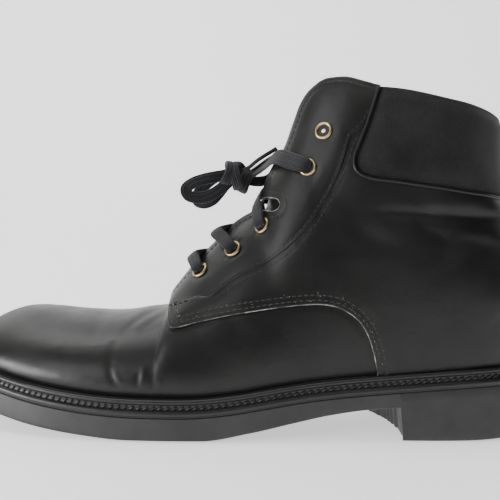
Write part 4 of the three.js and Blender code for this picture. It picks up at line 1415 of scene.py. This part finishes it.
def make_dust(runs, count=150):
    """Pale specks caught along the seams."""
    sides = 6
    verts, faces = [], []
    for points, outs in runs:
        for _ in range(max(1, int(count * len(points) / 400))):
            k = rng.integers(len(points))
            at = points[k] + rng.normal(0, 0.9 * MM, 3) * np.array([1, 0, 1])
            out = outs[k]
            a = unit(np.cross(out, np.array([0.3, 0, 1.0])))
            b = np.cross(out, a)
            size = rng.uniform(0.06, 0.2) * MM
            first = len(verts)
            for q in range(sides):
                w = 2 * math.pi * q / sides
                stretch = rng.uniform(0.6, 1.5)
                verts.append(at + (a * math.cos(w) * stretch + b * math.sin(w)) * size + out * 0.1 * MM)
            verts += [at + out * 0.22 * MM, at - out * 0.3 * MM]
            for q in range(sides):
                p = (q + 1) % sides
                faces.append([first + q, first + p, first + sides])
                faces.append([first + p, first + q, first + sides + 1])
    mesh_object("seam_dust", verts, faces, DUST_SKIN)


def make_lining():
    patches = []
    for side in (-1, 1):
        patch = Patch(side, spread(0, STATIONS, 2 * FINE), spread(-1, 1, 2 * UP_FINE), ["collar", "notch"])
        patch.keep("collar", 1.5 * MM, above=False)
        patch.keep("notch", 0)
        patches.append(patch)
    points, faces, start = [], [], 0
    for patch in patches:
        patch.compact()
        p = skin(patch.s, patch.u, patch.side) - skin_out(patch.s, patch.u, patch.side) * LEATHER
        tris = patch.tris[:, ::-1] if patch.side < 0 else patch.tris
        points.append(p)
        faces += (tris + start).tolist()
        start += len(p)
    mesh_object("lining", np.concatenate(points), faces, LINING_SKIN, weld=2e-6)


def make_collar():
    along = spread(10.2, STATIONS, FINE)
    ups = np.concatenate([spread(0.45, 0.9, UP_FINE), spread(0.9, 1, UP_FINE * 0.6)[1:]])

    def swell(patch):
        inward = np.clip(patch.field["collar"] / (3 * COLLAR_PUFF), 0, 1)
        from_top = np.clip((1 - patch.u) / 0.05, 0, 1)
        return np.sin(0.5 * np.pi * inward) * (0.4 + 0.6 * np.sin(0.5 * np.pi * from_top))

    def outer(patch, base):
        x, z = base[:, 0] / MM, base[:, 2] / MM
        soft = 0.5 * np.sin(0.09 * x + 0.3) * np.sin(0.11 * z) + 0.25 * np.sin(0.21 * x + 0.17 * z)
        return (COLLAR_PUFF + 0.6 * MM * soft) * swell(patch)

    def inner(patch, base):
        return -LEATHER - (COLLAR_PADDING - LEATHER) * swell(patch)

    patches = []
    for side in (-1, 1):
        patch = Patch(side, along, ups, ["collar"])
        for level in (0.6, 1.4, 3.0):
            patch.slice("collar", level * MM)
        patch.keep("collar", 0.15 * MM)
        patches.append(patch)
    collar = layer("collar_pad", patches, outer, inner, SUEDE_SKIN, ["collar"], inside=True)


def make_fibres():
    """Loose pale fibres at the front of the collar's raw edge and short dark ones along its top."""
    # name, material, count a side, stations from and to, length in millimetres from and to
    kinds = [
        ("collar_frayed_fibres", FIBRE_SKIN, 60, (10.62, 10.86), (0.8, 2.6)),
        ("collar_top_nap", SUEDE_SKIN, 2600, (10.7, 15), (0.4, 1.1)),
    ]
    for name, material, count, span, reach in kinds:
        verts, faces = [], []
        for side in (-1, 1):
            at = rng.uniform(*span, count)
            base = skin(at, np.ones(count), side)
            out = skin_out(at, np.ones(count), side)
            for p, o in zip(base, out):
                up = np.array([0, 0, 1.0])
                root = p + o * rng.uniform(-0.9, 1.0) * 1.5 * MM - up * 0.2 * MM
                way = unit(up + 0.8 * rng.normal(0, 0.5, 3) + 0.3 * o)
                size = rng.uniform(*reach) * MM
                bend = root + way * size * 0.5 + rng.normal(0, 0.1, 3) * size
                tip = root + unit(way + rng.normal(0, 0.4, 3)) * size
                a = unit(np.cross(way, np.array([0.3, 1, 0.2]))) * 0.045 * MM
                b = np.cross(way, a)
                first = len(verts)
                for centre, share in ((root, 1), (bend, 0.8)):
                    verts += [centre + a * share, centre - 0.5 * a * share + 0.87 * b * share,
                              centre - 0.5 * a * share - 0.87 * b * share]
                verts.append(tip)
                faces += quads(2, 3, first)
                faces += [[first + 3 + k, first + 3 + (k + 1) % 3, first + 6] for k in range(3)]
        mesh_object(name, verts, faces, material, smooth=0)


def make_piping():
    """The folded leather edge along the collar's front and lower seam."""
    line = smooth_line(COLLAR_SEAM[2:], 1.6 * MM)
    for side in (-1, 1):
        path = []
        for x, z in line:
            s, u = find_on_skin(x, z, side)
            if s >= STATIONS - 0.12:
                break
            out = skin_out(s, u, side)
            path.append(skin(s, u, side) + out * (QUARTER_STEP + 0.3 * MM))
        radius = np.full(len(path), 0.85 * MM)
        obj = round_cord(f"collar_piping_{SIDE_NAMES[side]}", np.array(path), radius, LEATHER_SKIN, [], 12)


def make_tongue():
    along = spread(6.1, 10, 0.06)
    reach = spread(0.8, 1, 0.02)
    rows = []
    top_drop = LEATHER + 3 * GAP
    for drop in (top_drop, top_drop + TONGUE_THICKNESS):
        grid = []
        for s in along:
            sides = [skin(s, reach, side) - skin_out(s, reach, side) * drop for side in (-1, 1)]
            middle = 0.5 * (sides[0][-1] + sides[1][-1])
            bridge = [sides[0][-1] + (sides[1][-1] - sides[0][-1]) * t for t in np.linspace(0, 1, 13)[1:-1]]
            for k, p in enumerate(bridge):
                p[2] += 1.2 * MM * math.sin(math.pi * (k + 1) / 12) if s > THROAT + 0.3 else 0
            grid.append(np.array([*sides[0], *bridge, *sides[1][::-1]]))
        rows.append(grid)
    outer, inner = rows
    n = len(outer[0])
    verts = np.concatenate([*outer, *inner])
    faces, total = [], len(outer) * n
    faces += quads(len(outer), n, around=False, flip=True) + quads(len(outer), n, total, around=False)
    for i in range(len(outer) - 1):
        for k, flip in ((0, True), (n - 1, False)):
            a = i * n + k
            quad = [a, a + n, total + a + n, total + a]
            faces.append(quad if flip else quad[::-1])
    for i, flip in ((0, False), (len(outer) - 1, True)):
        for k in range(n - 1):
            a = i * n + k
            quad = [a, a + 1, total + a + 1, total + a]
            faces.append(quad[::-1] if flip else quad)
    mesh_object("tongue_leather", verts, faces, LEATHER_SKIN, ["tongue"])


# The sole

WELT_SECTION = [
    # inset and height, in millimetres
    (4.3, 0.3), (1.0, 0.3), (0.85, 0.75), (0.35, 1.05), (0.05, 1.5), (0.0, 2.2), (0.1, 2.9), (0.5, 3.4),
    (1.1, 3.75), (1.5, 4.3), (1.55, 5.2), (1.4, 6.0), (0.8, 6.45), (0.25, 6.8), (0.05, 7.3), (0.15, 7.9),
    (0.6, 8.4), (1.4, 8.6), (3.2, 8.5), (4.3, 8.2),
]


WELT_STITCH_PITCH = 3.3 * MM
WELT_STITCH_HEIGHT = 4.7 * MM


def make_welt():
    rings = np.linspace(0, 2 * STATIONS, 1100, endpoint=False)
    insets, lifts = np.array(WELT_SECTION[::-1]).T * MM
    verts = []
    for r in rings:
        p = rim(np.full(len(insets), r), insets)
        p[:, 2] = seat_at(p[:, 0]) + lifts
        verts += list(p)
    faces = quads(len(rings), len(insets), ring=True, flip=True)
    mesh_object("welt_strip", verts, faces, WELT_SKIN, ["welt"], smooth=35)


def make_welt_stitches():
    """The imitation stitches that are moulded in the welt's groove, a little slanting."""
    verts, faces = [], []
    around = np.linspace(0, 2 * STATIONS, 3000)
    line = rim(around, np.full(len(around), 1.35 * MM))
    at = np.concatenate([[0], np.cumsum(np.linalg.norm(np.diff(line[:, :2], axis=0), axis=1))])
    count = int(at[-1] / WELT_STITCH_PITCH)
    for k in range(count):
        ring = np.interp((k + 0.5) * at[-1] / count, at, around)
        out = outline_out(ring)
        mid = rim(ring, 1.25 * MM)
        mid = mid + np.array([0, 0, seat_at(mid[0]) + WELT_STITCH_HEIGHT])
        along = np.array([-out[1], out[0], 0])
        sides, rows = 8, 5
        faces += quads(rows, sides, len(verts)) + caps(rows, sides, len(verts))
        for i in range(rows):
            t = -1 + 2 * i / (rows - 1)
            r = max(0.15, (1 - t * t) ** 0.5)
            middle = mid + along * t * 1.25 * MM + np.array([0, 0, 0.75 * t * MM])
            verts += circle(middle, out * 0.6 * MM * r, np.array([0, 0, 0.7 * MM * r]), sides)
    mesh_object("welt_moulded_stitches", verts, faces, WELT_SKIN, smooth=60)


def tread_at(x):
    bevel_from = BEVEL_START * HALF_LENGTH
    return spring_at(x) + HEEL_BEVEL * np.clip((x - bevel_from) / (HALF_LENGTH - bevel_from), 0, 1) ** 2


def breast_x(y):
    return HALF_LENGTH - HEEL_LENGTH - (y + BREAST_SHIFT) ** 2 / (2 * BREAST_RADIUS)


# The outsole's wall from the welt down: inset in millimetres and share of its height
OUTSOLE_WALL = [
    (4.2, 1.0), (0.9, 1.0), (0.75, 0.985), (0.7, 0.8), (0.7, 0.5), (0.7, 0.2), (0.75, 0.08), (1.1, 0.03),
    (1.9, 0.0),
]
WALL_FACE = 3


def make_outsole():
    """Wall, bottom and heel breast as one net: rows across the sole from rim to rim."""

    def bottom(x, y):
        arch = np.where((x > ARCH_FRONT * HALF_LENGTH) & (x < breast_x(y)), waist_at(x), 0)
        return np.maximum(tread_at(x), arch)

    rings = np.linspace(0, STATIONS, 420)
    insets, shares = np.array(OUTSOLE_WALL).T
    verts, faces = [], []
    for side in (-1, 1):
        faces += quads(len(rings), len(insets), len(verts), around=False, flip=side > 0)
        for r in rings:
            row = rim(np.full(len(insets), ring_of(r, side)), insets * MM)
            edge = row[WALL_FACE]
            low = float(bottom(edge[0], edge[1]))
            row[:, 2] = low + (seat_at(edge[0]) - low) * shares
            verts += list(row)
    across = 40
    faces += quads(len(rings), across, len(verts), around=False)
    for r in rings:
        a, b = (rim(place_at, insets[-1] * MM) for place_at in (r, 2 * STATIONS - r))
        for t in np.linspace(0, 1, across):
            p = a + (b - a) * t
            p[2] = float(bottom(p[0], p[1]))
            verts.append(p)
    mesh_object("outsole_rubber", verts, faces, RUBBER_SKIN, ["outsole"], weld=1e-6,
                smooth=35)


def make_insole():
    rings = np.linspace(0, STATIONS, 160)
    inset = WELT_SHELF + LEATHER + GAP
    across = 24
    verts = []
    for r in rings:
        a, b = rim(r, inset), rim(2 * STATIONS - r, inset)
        for t in np.linspace(0, 1, across):
            p = a + (b - a) * t
            edge = min(t, 1 - t) * 2
            p[2] = seat_at(p[0]) + GAP + INSOLE_THICKNESS - 0.8 * MM * (1 - min(1, edge * 6)) ** 2
            verts.append(p)
    faces = quads(len(rings), across, around=False, flip=True)
    mesh_object("sock_lining", verts, faces, SOCK_SKIN, ["insole"], weld=1e-6)


# Floor, backdrop and lights

STAGE_FRONT = -1.2
STAGE_BACK = 0.45
STAGE_HALF_WIDTH = 2.5
SWEEP = 0.35
STAGE_TOP = 1.6
# The floor lies this much under the soles, so that the two never share a plane
STAGE_DROP = 0.0004


def make_stage():
    tree = new_material("pale_backdrop")
    pale = tree.ramp(tree.noise(1.5, 2, 0.5), [(0.3, (0.80, 0.80, 0.80)), (0.7, (0.84, 0.84, 0.84))])
    material = tree.finish("Principled BSDF", {"Base Color": pale, "Roughness": 0.9,
                                               "Emission Color": (1, 1, 1, 1), "Emission Strength": 0.86})
    profile = [(STAGE_FRONT, 0.0), (STAGE_BACK, 0.0)]
    for a in 0.5 * math.pi * np.arange(1, 13) / 12:
        profile.append((STAGE_BACK + SWEEP * math.sin(a), SWEEP * (1 - math.cos(a))))
    profile.append((STAGE_BACK + SWEEP, STAGE_TOP))
    verts = [(x, y, z - STAGE_DROP) for y, z in profile for x in (-STAGE_HALF_WIDTH, STAGE_HALF_WIDTH)]
    mesh = bpy.data.meshes.new("backdrop")
    mesh.from_pydata(verts, [], quads(len(profile), 2, around=False))
    mesh.shade_smooth()
    mesh.materials.append(material)
    stage = bpy.data.objects.new("backdrop", mesh)
    bpy.context.scene.collection.objects.link(stage)


def area_light(name, place_at, target, size, energy, color):
    data = bpy.data.lights.new(name, "AREA")
    data.shape = "RECTANGLE"
    data.size, data.size_y = size
    data.energy = energy
    data.color = color
    light = bpy.data.objects.new(name, data)
    bpy.context.scene.collection.objects.link(light)
    light.location = place_at
    way = Vector(target) - Vector(place_at)
    light.rotation_mode = "QUATERNION"
    light.rotation_quaternion = way.to_track_quat("-Z", "Y")


def make_world():
    """A room that is bright above and behind and dim on the camera's side."""
    tree = Tree(bpy.data.worlds.new("world"), "Generated")
    way = tree.nodes.new("ShaderNodeSeparateXYZ")
    tree.links.new(tree.coords, way.inputs[0])
    total = 0.4
    for axis, share in (("Z", 0.55), ("Y", 0.35), ("X", -0.12)):
        total = tree.math("ADD", tree.math("MULTIPLY", way.outputs[axis], share), total)
    glow = tree.ramp(total, [(0.0, (0.03, 0.032, 0.035)), (0.4, (0.05, 0.052, 0.055)),
                             (0.8, (0.22, 0.225, 0.23)), (1.0, (0.5, 0.5, 0.5))])
    bpy.context.scene.world = tree.finish("Background", {"Color": glow, "Strength": 0.8})


# Name, place, target, width and height in metres, watts and colour
LIGHTS = [
    ("key", (-0.75, 0.15, 0.9), (-0.03, 0, 0.05), (0.7, 0.7), 1.6, (1, 0.99, 0.97)),
    ("front", (0.35, -1.3, 0.75), (0.02, 0, 0.06), (0.5, 0.35), 0.6, (1, 1, 1)),
    ("facing", (-0.95, -1.05, 0.75), (0.02, 0, 0.12), (0.7, 0.7), 6, (1, 1, 1)),
    ("left", (-0.75, -0.4, 0.10), (-0.1, 0, 0.03), (0.5, 0.2), 6.5, (1, 1, 1)),
    ("wall", (-0.45, 0.1, 1.5), (-0.3, 0.75, 0.3), (1.6, 0.6), 13, (1, 1, 1)),
    ("floor", (0.1, -0.9, 1.3), (0, -0.1, 0), (1.6, 0.7), 2, (1, 1, 1)),
]


make_camera()
make_bow()
make_last_runs()
make_crossings()
make_eyelets()
make_vamp()
quarter_sewing, quarter_dusty, worn_edges = make_quarters()
facing_sewing, notch_edges = make_facings()
stitches("sewing_thread", quarter_sewing + facing_sewing + throat_tacks(), THREAD_SKIN)
# Pale cords: wear along the quarter's edge, a painted highlight round the notch
make_wear_and_highlight_cords(worn_edges + notch_edges)
make_dust(quarter_dusty)
stitches("quarter_seam_thread", quarter_dusty, DUSTY_THREAD_SKIN)
make_lining()
make_collar()
make_fibres()
make_piping()
make_tongue()
make_welt()
make_welt_stitches()
make_outsole()
make_insole()
make_stage()
for light_row in LIGHTS:
    area_light(*light_row)
make_world()
